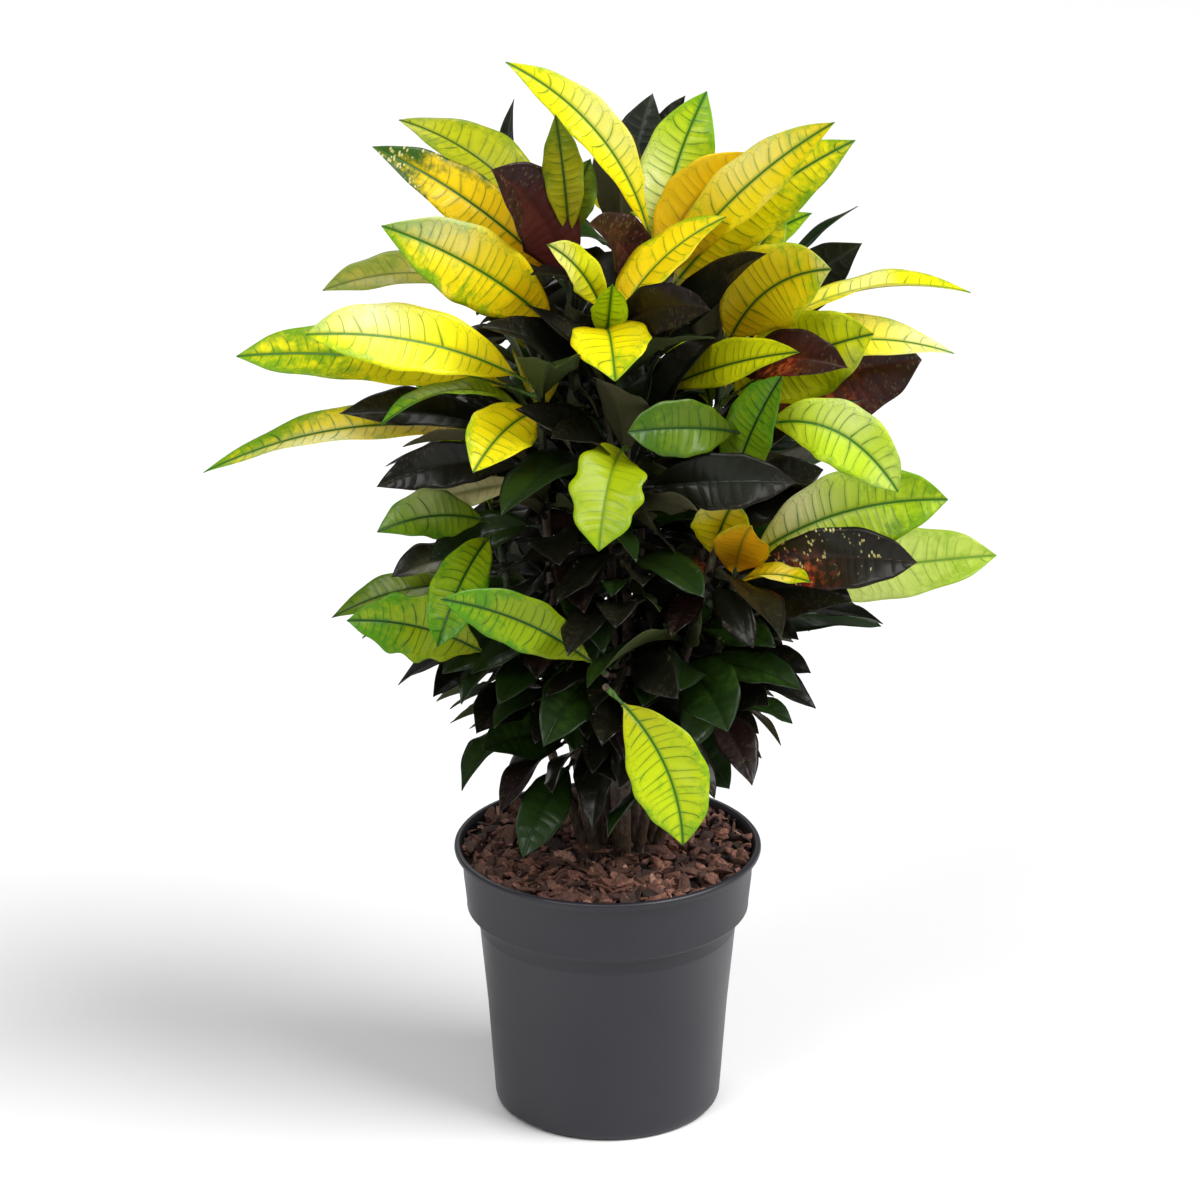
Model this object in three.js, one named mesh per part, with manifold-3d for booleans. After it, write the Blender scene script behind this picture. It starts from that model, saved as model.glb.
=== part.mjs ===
// A potted croton (Codiaeum variegatum), about 0.85 m tall, in a plastic nursery pot of 240 mm.
// Millimetres, +Z up. The origin is the middle of the pot's flat underside, and the foliage is fullest
// towards -Y. Every stem stands in a plain hole in the soil. Its old wood with the dark leaves is one
// solid, and the young shoot on top with the yellow and lime leaves is another, cut where the colour changes.
import * as THREE from "three";
import { mergeVertices } from "three/addons/utils/BufferGeometryUtils.js";
import Module from "manifold-3d";

const wasm = await Module();
wasm.setup();

// Driving dimensions
const RIM_RADIUS = 120;
const POT_HEIGHT = 218;
const BASE_RADIUS = 84.5;
const COLLAR_RADIUS = 110;
const COLLAR_FOOT = 166.5; // the wide collar starts here
const BODY_TOP = 160; // and the tapered body ends here
const BODY_RADIUS = 101.7; // at its top
const WALL = 1.8;
const FLOOR = 3;
const DRAIN = { ring: 62, radius: 5, count: 6, sides: 8 };
const NOTCH = { angles: [222, 342, 102], width: 36, height: 3.4, depth: 6 };
const LATHE_SIDES = 36;
const GAP = 0.4; // between two pieces that touch
const SOIL_TOP = 190;
const MULCH_TOP = 210;
const STEM_FOOT = 150; // how deep the stems stand in the soil
const STRAIGHT_TO = 216; // below this a stem stands upright in its hole
const HOLE_ROOM = 0.6;
const STEM_SIDES = 6;
const STEM_RADIUS = { foot: 4.6, top: 2.3 };
const TWIG_RADIUS = 2.4;
const CUT_GAP = 0.35; // between old wood and the shoot or twig on it

// Bark chips, as relief: rings and sectors of points, their rise, and how far the draws move them
const CHIPS = { rings: 10, sectors: 36, rise: 5.5, turn: 0.7, spread: 5, dome: 4 };

// The leaf, as shares of its midrib's length
const PETIOLE = 0.13;
const OUTLINE = { lean: 1.04, round: 0.75 }; // widest just past the middle, with full sides
const BROAD_OUTLINE = { lean: 1.15, round: 0.62 }; // blunt at both ends
const PETIOLE_HALF = 1.6;
const PETIOLE_THICK = 2.4;
const BLADE_THICK = 0.8;
const STATIONS = [0, PETIOLE, 0.34, 0.58, 0.8];
const BROAD_STATIONS = [0, PETIOLE, 0.36, 0.62, 0.88];
const FEW_STATIONS = [0, PETIOLE, 0.42, 0.74]; // on the leaves that follow the rule
const FOLD = 14; // degrees that each half of the blade is raised from flat
const WAVE = 3.2; // how far the margin waves up and down
const CLEAR = 1.4; // room between leaves of different pieces
const CLEAR_OWN = 0.5; // room between the blades of one piece
const GOLDEN_ANGLE = 137.5;

// The leaves that follow the golden angle up each stem
const LEAF_FROM = 276; // the lowest of them starts here
const WOOD_STEP = 29; // height between two leaves on old wood
const SHOOT_STEP = 20; // and on a young shoot
const BARE_TIP = 6; // a stem's last leaf sits this far below its top
const BARE_END = 10; // and none sits nearer to the cut between wood and shoot
const WOOD_CLIMB = { low: -30, gain: 50 }; // degrees above level, at the bottom and added to the top
const SHOOT_CLIMB = { low: 26, gain: 40 };
const WOOD_LEAF = { low: 96, gain: 60 }; // length, at the bottom and added to the top
const SHOOT_LEAF = 140;
const SHORTEST_LEAF = 60;
// Leaves of the rule that have dropped off, by their seed
const FALLEN = [1002, 1003, 1004, 2001, 2002, 3008, 4001, 4003, 6001, 6003, 8005, 9002, 11003];
const LEAF_SHAPE = { width: 0.35, arch: 0.12 }; // shares of the length
const UNEVEN = { climb: 24, length: 0.3, roll: 70 }; // spread of the seeded draws
const CROWN = { middle: [5, -5, 508], reach: [225, 215, 270] }; // none of them reaches out of this egg shape

// Colours
const GREY = 0x3e3e42;
const SOIL = 0x2a1c16;
const BARK = 0x5c3a2c;
const DARK_LEAF = 0x1b2412;
const BRIGHT_LEAF = 0xb9c21a;

// Which way a leaf's upper side looks
const UP = [0, 0, 1];
const UP_FRONT = [0, -0.5, 1];
const FRONT_UP = [0, -1, 0.8];
const FRONT = [0, -1, 0.3];
const FRONT_LEFT = [-0.7, -1, 0.2];
const FRONT_RIGHT = [0.7, -1, 0.2];
const RIGHT_UP = [0.8, -0.6, 0.8];
const BACK_UP = [0, 0.8, 0.7];

// Stems: name, foot x and y, top x, y and z, bow x and y, height where the young shoot starts
const STEMS = [
  ["crown_left", [-4, 13], [-28, -18, 712], [-6, -4], 618],
  ["crown_right", [20, 8], [36, -8, 692], [-4, 0], 596],
  ["left", [-11, -2], [-50, -72, 642], [-10, -4], 556],
  ["front", [8, -5], [-2, -66, 668], [0, -8], 590],
  ["right", [34, 14], [86, -28, 630], [6, 2], 540],
  ["right_front", [24, -9], [106, -92, 596], [-4, -6], 506],
  ["right_low", [39, 2], [96, -78, 478], [6, 4], 416],
  ["front_low", [14, -19], [14, -102, 586], [0, -10], 508],
  ["left_low", [-20, 13], [-84, -50, 502], [-8, 4], 428],
  ["back_left", [-9, 29], [-78, 78, 654], [-2, 8], 566],
  ["back", [14, 33], [10, 92, 700], [-2, 12], 604],
  ["back_right", [36, 31], [102, 70, 612], [6, 8], 520],
  ["back_low", [4, 45], [-34, 120, 486], [-4, 10], 404],
];

// Short side twigs: name, the stem they sit on, height there, tip x, y and z
const TWIGS = [
  ["twig_left", "left", 352, [-86, -78, 402]],
  ["twig_middle", "front_low", 372, [-2, -112, 404]],
  ["twig_low", "front_low", 354, [-2, -133, 402]],
];

// Leaves set by hand: piece, height of the leaf's foot, tip x, y and z, the way it looks, width, arch
const LEAVES = [
  ["shoot_crown_right", 690, [-75, -40, 855], FRONT_RIGHT, 37, 24],
  ["shoot_crown_right", 684, [73, 8, 820], FRONT, 54, 8],
  ["shoot_crown_right", 676, [104, -24, 782], FRONT, 50, 12],
  ["shoot_crown_right", 664, [164, -70, 818], FRONT_LEFT, 43, 12],
  ["shoot_crown_right", 652, [183, -4, 786], FRONT, 52, 14],
  ["shoot_crown_right", 640, [153, 26, 721], FRONT_UP, 40, 10],
  ["shoot_crown_right", 610, [114, -110, 731], FRONT_UP, 32, 12],
  ["shoot_crown_right", 655, [-14, -72, 742], FRONT_UP, 44, 12],
  ["shoot_crown_left", 688, [-157, 52, 786], UP_FRONT, 52, 22],
  ["shoot_crown_left", 672, [-173, -32, 789], FRONT_UP, 44, 10],
  ["shoot_crown_left", 668, [-85, -62, 780], FRONT_UP, 58, 14],
  ["shoot_crown_left", 704, [-42, -60, 821], FRONT, 31, 4],
  ["shoot_crown_left", 708, [-13, -16, 775], FRONT, 30, 4],
  ["shoot_crown_left", 632, [-164, -104, 750], FRONT, 60, 10],
  ["shoot_left", 614, [-220, -112, 670], FRONT_UP, 54, 14],
  ["shoot_left", 606, [-276, -50, 633], FRONT_UP, 46, 14],
  ["shoot_left", 568, [-302, -62, 546], UP_FRONT, 34, 26],
  ["shoot_left", 584, [-171, -96, 598], UP, 36, 28],
  ["shoot_left", 596, [-98, -160, 581], FRONT_UP, 50, 10],
  ["shoot_left", 566, [-198, -84, 600], UP_FRONT, 40, 12],
  ["shoot_front", 660, [5, -150, 647], FRONT_UP, 60, 12],
  ["shoot_front", 642, [3, -112, 708], FRONT, 28, 3],
  ["shoot_front", 666, [-44, -104, 736], FRONT_UP, 30, 8],
  ["shoot_front", 604, [-92, -112, 676], UP_FRONT, 42, 12],
  ["shoot_front", 650, [73, -140, 698], FRONT, 38, 12],
  ["shoot_right", 624, [162, -90, 713], FRONT, 66, 18],
  ["shoot_right", 614, [272, 0, 667], UP, 44, 30],
  ["shoot_right", 592, [259, -22, 626], UP_FRONT, 42, 26],
  ["shoot_right", 584, [190, -86, 659], FRONT, 68, 8],
  ["shoot_right", 562, [236, -4, 615], FRONT, 76, 12],
  ["shoot_right", 606, [174, -118, 647], FRONT_UP, 42, 12],
  ["stem_crown_right", 586, [138, -128, 662], FRONT_UP, 36, 6],
  ["shoot_right_front", 586, [14, -150, 608], FRONT, 44, 4],
  ["shoot_right_front", 524, [130, -122, 643], FRONT_LEFT, 46, 6],
  ["shoot_right_front", 590, [211, -150, 562], FRONT, 50, 26],
  ["stem_right_front", 490, [161, -56, 546], FRONT_UP, 46, 12],
  ["shoot_right_low", 474, [253, -100, 543], FRONT, 64, 16],
  ["shoot_right_low", 452, [292, -60, 479], FRONT_UP, 58, 4],
  ["shoot_right_low", 464, [232, -132, 505], FRONT, 48, 10],
  ["stem_right_front", 476, [94, -112, 543], FRONT, 46, 4],
  ["shoot_right_low", 460, [105, -138, 531], FRONT, 44, 8],
  ["shoot_right_low", 462, [148, -150, 492], UP_FRONT, 26, 6],
  ["shoot_right_low", 426, [208, -60, 424], UP, 30, 12],
  ["shoot_right_low", 436, [181, -112, 462], FRONT_UP, 54, 14],
  ["shoot_front_low", 580, [-7, -190, 531], FRONT, 54, 22],
  ["shoot_front_low", 560, [-46, -150, 606], UP_FRONT, 40, 10],
  ["shoot_left_low", 500, [-171, -104, 514], FRONT_UP, 40, 10],
  ["shoot_left_low", 496, [-126, -140, 437], FRONT, 42, 12],
  ["shoot_left_low", 462, [-163, -60, 462], UP_FRONT, 36, 10],
  ["shoot_left_low", 440, [-210, -40, 421], UP_FRONT, 30, 14],
  ["stem_left", 548, [-173, -66, 532], FRONT_LEFT, 36, 12],
  ["twig_left", 400, [-195, -100, 442], FRONT, 50, 10],
  ["twig_middle", 402, [-122, -180, 490], FRONT, 42, 10],
  ["twig_low", 400, [56, -152, 282], FRONT, 60, 16],
  ["stem_back_left", 380, [-134, -30, 352], UP_FRONT, 44, 12],
  ["stem_left_low", 344, [-99, -100, 351], FRONT_UP, 40, 10],
  ["stem_front", 380, [-48, -140, 357], FRONT, 46, 14],
  ["stem_left", 312, [-95, -80, 329], FRONT_UP, 44, 8],
  ["stem_left", 296, [-65, -95, 246], FRONT, 38, 8],
  ["stem_right_front", 384, [89, -140, 369], FRONT, 52, 12],
  ["stem_right_front", 400, [69, -138, 452], FRONT_RIGHT, 34, 10],
  ["stem_right_low", 404, [142, -110, 431], UP_FRONT, 34, 8],
  ["stem_right_low", 376, [154, -60, 384], UP_FRONT, 34, 10],
  ["stem_right", 350, [146, -36, 362], UP_FRONT, 32, 10],
  ["stem_right_low", 344, [126, -92, 372], FRONT_UP, 36, 10],
  ["stem_right", 316, [110, -40, 315], UP_FRONT, 38, 10],
  ["stem_right_front", 316, [92, -92, 302], FRONT, 40, 10],
  ["stem_back_left", 520, [-72, 40, 700], UP, 26, 10],
  ["shoot_back_left", 640, [-215, 20, 662], UP_FRONT, 44, 16],
  ["shoot_back", 660, [5, 60, 788], BACK_UP, 40, 6],
  ["shoot_back", 676, [34, 108, 791], FRONT, 42, 4],
  ["shoot_back", 682, [59, 124, 785], UP_FRONT, 30, 6],
  ["shoot_back_right", 604, [189, 62, 716], UP, 16, 12],
  ["shoot_back_right", 590, [191, 30, 696], FRONT, 46, 8],
  ["stem_left", 536, [-161, -52, 488], FRONT, 26, 8],
  ["shoot_back_left", 648, [-71, 70, 797], FRONT_LEFT, 16, 8],
  ["shoot_front_low", 544, [137, -140, 566], FRONT, 44, 4],
];

// Which of them, counted from 1, are broad and blunt
const BROAD = [15, 16, 26, 29, 30, 33, 35, 37, 38, 39, 45, 48];

// Turnings of a leaf about its foot, in degrees sideways and upwards, tried in this order until it is clear
const TURNS = [
  [0, 0], [5, 0], [-5, 0], [0, 6], [0, -6], [9, 5], [-9, 5], [9, -6], [-9, -6], [0, 13],
  [14, 0], [-14, 0], [0, -13], [16, 12], [-16, 12], [16, -12], [-16, -12], [24, 0], [-24, 0],
  [24, 18], [-24, 18], [34, -6], [-34, -6], [0, 26], [44, 8], [-44, 8],
];

// A number from 0 to 1 that is always the same for one seed
function draw(seed) {
  const value = Math.sin(seed * 12.9898 + 4.1414) * 43758.5453;
  return value - Math.floor(value);
}

const radians = THREE.MathUtils.degToRad;
const vector = ([x, y, z]) => new THREE.Vector3(x, y, z);

// Solids and geometry

function solidFrom(points, faces) {
  const vertProperties = new Float32Array(points.flatMap((p) => [p.x, p.y, p.z]));
  const triVerts = new Uint32Array(faces.flat());
  return new wasm.Manifold(new wasm.Mesh({ numProp: 3, vertProperties, triVerts }));
}

function solidOf(geometry) {
  const bare = new THREE.BufferGeometry().setAttribute("position", geometry.getAttribute("position"));
  if (geometry.index) bare.setIndex(geometry.index);
  const merged = mergeVertices(bare, 1e-4);
  const vertProperties = new Float32Array(merged.attributes.position.array);
  const triVerts = new Uint32Array(merged.index.array);
  return new wasm.Manifold(new wasm.Mesh({ numProp: 3, vertProperties, triVerts }));
}

function geometryOf(solid) {
  const mesh = solid.getMesh();
  const positions = new Float32Array(mesh.numVert * 3);
  for (let i = 0; i < mesh.numVert; i++)
    positions.set(mesh.vertProperties.subarray(i * mesh.numProp, i * mesh.numProp + 3), i * 3);
  const geometry = new THREE.BufferGeometry();
  geometry.setAttribute("position", new THREE.BufferAttribute(positions, 3));
  geometry.setIndex(new THREE.BufferAttribute(mesh.triVerts, 1));
  geometry.computeVertexNormals();
  return geometry;
}

// The largest body of a solid, without the scraps that a union may leave
function wholeOf(solid) {
  const bodies = solid.decompose();
  return bodies.reduce((best, body) => (body.volume() > best.volume() ? body : best));
}

// A solid of revolution about Z from a closed profile of [radius, height]
function turned(profile, sides = LATHE_SIDES) {
  const points = profile.map(([r, z]) => new THREE.Vector2(r, z));
  return solidOf(new THREE.LatheGeometry(points, sides).rotateX(Math.PI / 2));
}

function cylinder(x, y, z0, z1, radius, sides) {
  const made = new THREE.CylinderGeometry(radius, radius, z1 - z0, sides).rotateX(Math.PI / 2);
  return solidOf(made.translate(x, y, (z0 + z1) / 2));
}

// Pot

// The pot's outside, from the foot up to the lip: [radius, height]
const OUTSIDE = [
  [BASE_RADIUS, 0],
  [BASE_RADIUS + 3.6, 3],
  [BASE_RADIUS + 5, 12],
  [BASE_RADIUS + 10, 84],
  [BODY_RADIUS, BODY_TOP],
  [COLLAR_RADIUS - 0.6, COLLAR_FOOT - 1.3],
  [COLLAR_RADIUS, COLLAR_FOOT],
  [RIM_RADIUS - 6.8, POT_HEIGHT - 22],
  [RIM_RADIUS - 6.2, POT_HEIGHT - 8],
  [RIM_RADIUS - 0.8, POT_HEIGHT - 5],
  [RIM_RADIUS, POT_HEIGHT - 3.4],
  [RIM_RADIUS - 0.4, POT_HEIGHT - 1],
  [RIM_RADIUS - 1.8, POT_HEIGHT],
];

// The pot's inside, from the lip down to the floor: [radius, height]
const INSIDE = [
  [RIM_RADIUS - 4.6, POT_HEIGHT - 0.6],
  [RIM_RADIUS - 7.2, POT_HEIGHT - 6],
  [RIM_RADIUS - 6.8 - WALL, POT_HEIGHT - 22],
  [COLLAR_RADIUS - WALL, COLLAR_FOOT + 0.7],
  [BODY_RADIUS - WALL, BODY_TOP + 1.4],
  [BASE_RADIUS + 10 - WALL, 84],
  [BASE_RADIUS + 5 - WALL, 12],
  [BASE_RADIUS - 3, FLOOR],
];

// The radius of the pot's inner wall at a height
function innerRadius(height) {
  const lower = INSIDE.findIndex(([, z]) => z <= height);
  const [[r0, z0], [r1, z1]] = [INSIDE[lower], INSIDE[lower - 1]];
  return r0 + ((r1 - r0) * (height - z0)) / (z1 - z0);
}

function pot() {
  let shell = turned([[0, 0], ...OUTSIDE, ...INSIDE, [0, FLOOR]]);
  for (let i = 0; i < DRAIN.count; i++) {
    const angle = radians(30 + (i * 360) / DRAIN.count);
    const [x, y] = [DRAIN.ring * Math.cos(angle), DRAIN.ring * Math.sin(angle)];
    shell = shell.subtract(cylinder(x, y, -1, FLOOR + 1, DRAIN.radius, DRAIN.sides));
  }
  for (const degrees of NOTCH.angles) {
    const box = new THREE.BoxGeometry(BASE_RADIUS, NOTCH.width, NOTCH.height * 2);
    box.translate(BASE_RADIUS * 1.5 - NOTCH.depth, 0, 0).rotateZ(radians(degrees));
    shell = shell.subtract(solidOf(box));
  }
  return wholeOf(shell);
}

// Soil and mulch, with a plain hole for each stem

function stemHoles() {
  const radius = STEM_RADIUS.foot + HOLE_ROOM;
  const ends = [STEM_FOOT - 1, POT_HEIGHT];
  return STEMS.map(([, [x, y]]) => tube(ends.map((z) => [new THREE.Vector3(x, y, z), radius])));
}

function pottingSoil() {
  const wall = INSIDE.slice(3).reverse().map(([r, z]) => [r - GAP, z + GAP]);
  const top = [[innerRadius(SOIL_TOP) - GAP, SOIL_TOP], [0, SOIL_TOP]];
  const solid = turned([[0, FLOOR + GAP], ...wall, ...top]);
  return stemHoles().reduce((rest, hole) => rest.subtract(hole), solid);
}

// Bark chips lie all over the soil: a disc whose top is raised, chip by chip, by a seeded rule
function barkMulch() {
  const { rings, sectors } = CHIPS;
  const low = SOIL_TOP + GAP;
  const points = [new THREE.Vector3(0, 0, low), new THREE.Vector3(0, 0, MULCH_TOP + CHIPS.dome / 2)];
  const at = (ring, sector) => 2 + ring * sectors + (sector % sectors);
  for (let ring = 0; ring <= rings; ring++) {
    const share = Math.min(ring + 1, rings) / rings;
    const loose = ring < rings - 1 ? 1 : 0; // the outermost points keep to the pot's wall
    for (let sector = 0; sector < sectors; sector++) {
      const seed = ring * sectors + sector;
      const [lift, turn, spread] = [0, 0.3, 0.6].map((part) => loose * (draw(seed + part) - 0.5));
      const angle = ((sector + turn * CHIPS.turn) * 2 * Math.PI) / sectors;
      const top = MULCH_TOP + CHIPS.dome * (0.5 - share * share) + lift * CHIPS.rise;
      const z = ring === rings ? low : top;
      const r = (innerRadius(loose ? low : z) - GAP) * share + spread * CHIPS.spread;
      points.push(new THREE.Vector3(r * Math.cos(angle), r * Math.sin(angle), z));
    }
  }
  const faces = [];
  for (let sector = 0; sector < sectors; sector++) {
    faces.push([1, at(0, sector), at(0, sector + 1)], [0, at(rings, sector + 1), at(rings, sector)]);
    for (let ring = 1; ring <= rings; ring++) {
      const [a, b] = [at(ring - 1, sector), at(ring - 1, sector + 1)];
      const [c, d] = [at(ring, sector), at(ring, sector + 1)];
      faces.push([a, c, d], [a, d, b]);
    }
  }
  return wholeOf(stemHoles().reduce((rest, hole) => rest.subtract(hole), solidFrom(points, faces)));
}

// Stems

// The middle of a stem at a height: upright in the soil, then straight to its top with a bow between
function stemPoint([, foot, top, bow], z) {
  const h = Math.max(0, (z - STRAIGHT_TO) / (top[2] - STRAIGHT_TO));
  const swell = 4 * h * (1 - h);
  const x = foot[0] + (top[0] - foot[0]) * h + bow[0] * swell;
  const y = foot[1] + (top[1] - foot[1]) * h + bow[1] * swell;
  return new THREE.Vector3(x, y, z);
}

function stemRadius([, , top], z) {
  const h = (z - STEM_FOOT) / (top[2] - STEM_FOOT);
  return STEM_RADIUS.foot + (STEM_RADIUS.top - STEM_RADIUS.foot) * h;
}

// A tube with level rings: each ring is [middle, radius]
function tube(rings, sides = STEM_SIDES) {
  const points = [];
  const faces = [];
  rings.forEach(([middle, radius]) => {
    for (let k = 0; k < sides; k++) {
      const angle = (k * 2 * Math.PI) / sides;
      points.push(new THREE.Vector3(radius * Math.cos(angle), radius * Math.sin(angle), 0).add(middle));
    }
  });
  const last = (rings.length - 1) * sides;
  for (let k = 2; k < sides; k++) {
    faces.push([0, k, k - 1], [last, last + k - 1, last + k]);
  }
  for (let i = 0; i < rings.length - 1; i++)
    for (let k = 0; k < sides; k++) {
      const [a, b] = [i * sides + k, i * sides + ((k + 1) % sides)];
      faces.push([a, b, b + sides], [a, b + sides, a + sides]);
    }
  return solidFrom(points, faces);
}

function stemTube(stem, from, to, room = 0) {
  const start = Math.max(from, STRAIGHT_TO);
  const steps = Math.max(2, Math.round((to - start) / 100));
  const heights = from < start ? [from] : [];
  for (let i = 0; i <= steps; i++) heights.push(start + ((to - start) * i) / steps);
  return tube(heights.map((z) => [stemPoint(stem, z), stemRadius(stem, z) + room]));
}

const stemNamed = (name) => STEMS.find(([own]) => own === name);
// A twig runs straight from the middle of its stem to its tip
const twigEnds = ([, mother, z, tip]) => [stemPoint(stemNamed(mother), z), vector(tip)];

// Its foot is cut to the side of the stem
function twigTube(twig) {
  const [start, end] = twigEnds(twig);
  const stem = stemNamed(twig[1]);
  const whole = tube([[start, TWIG_RADIUS], [end, TWIG_RADIUS * 0.8]]);
  return wholeOf(whole.subtract(stemTube(stem, STEM_FOOT, stem[4], CUT_GAP)));
}

// The point on a piece's own wood that a leaf grows from
function leafFoot(piece, z) {
  const twig = TWIGS.find(([name]) => name === piece);
  if (!twig) return stemPoint(stemNamed(piece.replace(/^(stem|shoot)_/, "")), z);
  const [start, end] = twigEnds(twig);
  return start.lerp(end, (z - start.z) / (end.z - start.z));
}

// Leaves

// The half width of a blade at a share of the midrib's length
function halfWidth(leaf, t) {
  const s = (t - PETIOLE) / (1 - PETIOLE);
  if (s <= 0) return PETIOLE_HALF;
  const { lean, round } = BROAD.includes(leaf.seed) ? BROAD_OUTLINE : OUTLINE;
  const full = Math.pow(Math.sin(Math.PI * Math.pow(s, lean)), round) * (leaf.width / 2);
  return Math.max(full, PETIOLE_HALF * (1 - s));
}

// The midrib is an arc that sags by its own weight: [point, direction, way the upper side looks]
function midrib(leaf, t) {
  const { foot, tip, control, look } = leaf;
  const point = foot.clone().multiplyScalar((1 - t) ** 2);
  point.addScaledVector(control, 2 * t * (1 - t)).addScaledVector(tip, t * t);
  const along = control.clone().sub(foot).multiplyScalar(1 - t);
  along.addScaledVector(tip.clone().sub(control), t).normalize();
  const normal = look.clone().addScaledVector(along, -look.dot(along)).normalize();
  return [point, along, normal];
}

// A leaf from its foot to its tip. With no look its upper side looks up, rolled by some degrees
function makeLeaf(seed, foot, tip, look, width, arch, roll) {
  const chord = tip.clone().sub(foot).normalize();
  const lift = new THREE.Vector3(0, 0, 1).addScaledVector(chord, -chord.z).normalize();
  const control = foot.clone().add(tip).multiplyScalar(0.5).addScaledVector(lift, 2 * arch);
  return { seed, foot, tip, control, look: look ?? lift.applyAxisAngle(chord, radians(roll)), width };
}

// The left and right margin at a share of the midrib's length, raised by the fold and by waves
function margins(leaf, t) {
  const [point, along, normal] = midrib(leaf, t);
  const side = along.clone().cross(normal);
  const half = halfWidth(leaf, t);
  return [-1, 1].map((way) => {
    if (t <= PETIOLE) return point.clone().addScaledVector(side, way * half);
    const phase = draw(leaf.seed * 3 + (way < 0 ? 0.25 : 0.5));
    const wave = (WAVE * Math.sin(2 * Math.PI * (1.5 * t + phase)) * half * 2) / leaf.width;
    const raised = half * Math.sin(radians(FOLD)) + wave;
    const spread = way * half * Math.cos(radians(FOLD));
    return point.clone().addScaledVector(side, spread).addScaledVector(normal, raised);
  });
}

// A section of the petiole has 4 points: left, upper, right, lower
function petioleSection(leaf, t) {
  const [point, , normal] = midrib(leaf, t);
  const [left, right] = margins(leaf, t);
  const [upper, lower] = [1, -1].map((way) => point.clone().addScaledVector(normal, (way * PETIOLE_THICK) / 2));
  return [left, upper, right, lower];
}

// A section of the blade has 6 points: upper face left, middle, right, then lower face right, middle, left
function bladeSection(leaf, t) {
  const [point, , normal] = midrib(leaf, t);
  const [left, right] = margins(leaf, t);
  const upper = [left, point, right].map((p) => p.clone().addScaledVector(normal, BLADE_THICK / 2));
  const lower = [right, point, left].map((p) => p.clone().addScaledVector(normal, -BLADE_THICK / 2));
  return [...upper, ...lower];
}

// Faces between two sections of the blade, and from the petiole to the first, split alike above and below
const BLADE_FACES = [[0, 1, 6], [1, 7, 6], [1, 2, 8], [1, 8, 7], [2, 3, 9], [2, 9, 8]];
BLADE_FACES.push([3, 4, 9], [4, 10, 9], [4, 5, 11], [4, 11, 10], [5, 0, 6], [5, 6, 11]);
const NECK_FACES = [[0, 1, 5], [0, 5, 4], [1, 2, 6], [1, 6, 5], [2, 7, 6]];
NECK_FACES.push([2, 3, 7], [3, 8, 7], [3, 0, 8], [0, 9, 8], [0, 4, 9]);
const PETIOLE_FACES = [[0, 3, 2], [0, 2, 1]];
for (let k = 0; k < 4; k++) {
  const next = (k + 1) % 4;
  PETIOLE_FACES.push([k, next, next + 4], [k, next + 4, k + 4]);
}

// A leaf as a closed solid: the whole of it, or its blade alone
function leafSolid(leaf, stations, bladeOnly = false) {
  const blade = stations.filter((t) => t > PETIOLE);
  const points = bladeOnly ? [] : [0, PETIOLE].flatMap((t) => petioleSection(leaf, t));
  const start = points.length;
  points.push(...blade.flatMap((t) => bladeSection(leaf, t)), leaf.tip.clone());
  const shifted = (faces, by) => faces.map((face) => face.map((index) => index + by));
  const first = [[1, 3, 2], [1, 4, 3], [1, 5, 4], [1, 0, 5]];
  const faces = bladeOnly ? first : [...PETIOLE_FACES, ...shifted(NECK_FACES, 4)];
  for (let i = 0; i < blade.length - 1; i++) faces.push(...shifted(BLADE_FACES, start + i * 6));
  const last = points.length - 7;
  for (let k = 0; k < 6; k++) faces.push([last + k, last + ((k + 1) % 6), last + 6]);
  return solidFrom(points, faces);
}

// Pieces: each has its wood and its leaves, and what it must stay clear of

const pieces = new Map();
const fixed = [];

function addPiece(name, colour, wood) {
  pieces.set(name, { name, colour, wood, parts: [wood] });
  fixed.push({ piece: name, whole: wood, blade: wood, box: wood.boundingBox() });
}

const near = (a, b, room) =>
  [0, 1, 2].every((i) => a.min[i] - room < b.max[i] && b.min[i] - room < a.max[i]);

function isClear(piece, whole, blade) {
  const box = whole.boundingBox();
  return fixed.every((other) => {
    if (!near(box, other.box, CLEAR)) return true;
    if (other.piece !== piece) return whole.minGap(other.whole, CLEAR * 1.5) > CLEAR;
    return blade.minGap(other.blade, CLEAR_OWN * 1.5) > CLEAR_OWN;
  });
}

// The leaf turned about its foot, sideways about Z and then up or down
function turnedTip(foot, tip, [sideways, upwards]) {
  const out = tip.clone().sub(foot);
  const level = new THREE.Vector3(0, 0, 1).cross(out).normalize();
  out.applyAxisAngle(level, radians(-upwards)).applyAxisAngle(new THREE.Vector3(0, 0, 1), radians(sideways));
  return out.add(foot);
}

// Puts a leaf on its piece at the first turning that is clear of everything, or leaves it out
function place(piece, seed, foot, tip, look, width, arch, roll, stations) {
  for (const turn of TURNS) {
    const leaf = makeLeaf(seed, foot, turnedTip(foot, tip, turn), look, width, arch, roll);
    const whole = leafSolid(leaf, stations);
    const blade = leafSolid(leaf, stations, true);
    if (!isClear(piece, whole, blade)) continue;
    const own = pieces.get(piece);
    own.parts.push(whole);
    fixed.push({ piece, whole, blade, box: whole.boundingBox() });
    return;
  }
}

addPiece("pot", GREY, pot());
addPiece("potting_soil", SOIL, pottingSoil());
addPiece("bark_mulch", BARK, barkMulch());

for (const stem of STEMS) {
  const [name, , top, , cut] = stem;
  addPiece("stem_" + name, DARK_LEAF, stemTube(stem, STEM_FOOT, cut));
  addPiece("shoot_" + name, BRIGHT_LEAF, stemTube(stem, cut + CUT_GAP, top[2]));
}
for (const twig of TWIGS) addPiece(twig[0], BRIGHT_LEAF, twigTube(twig));

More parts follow.
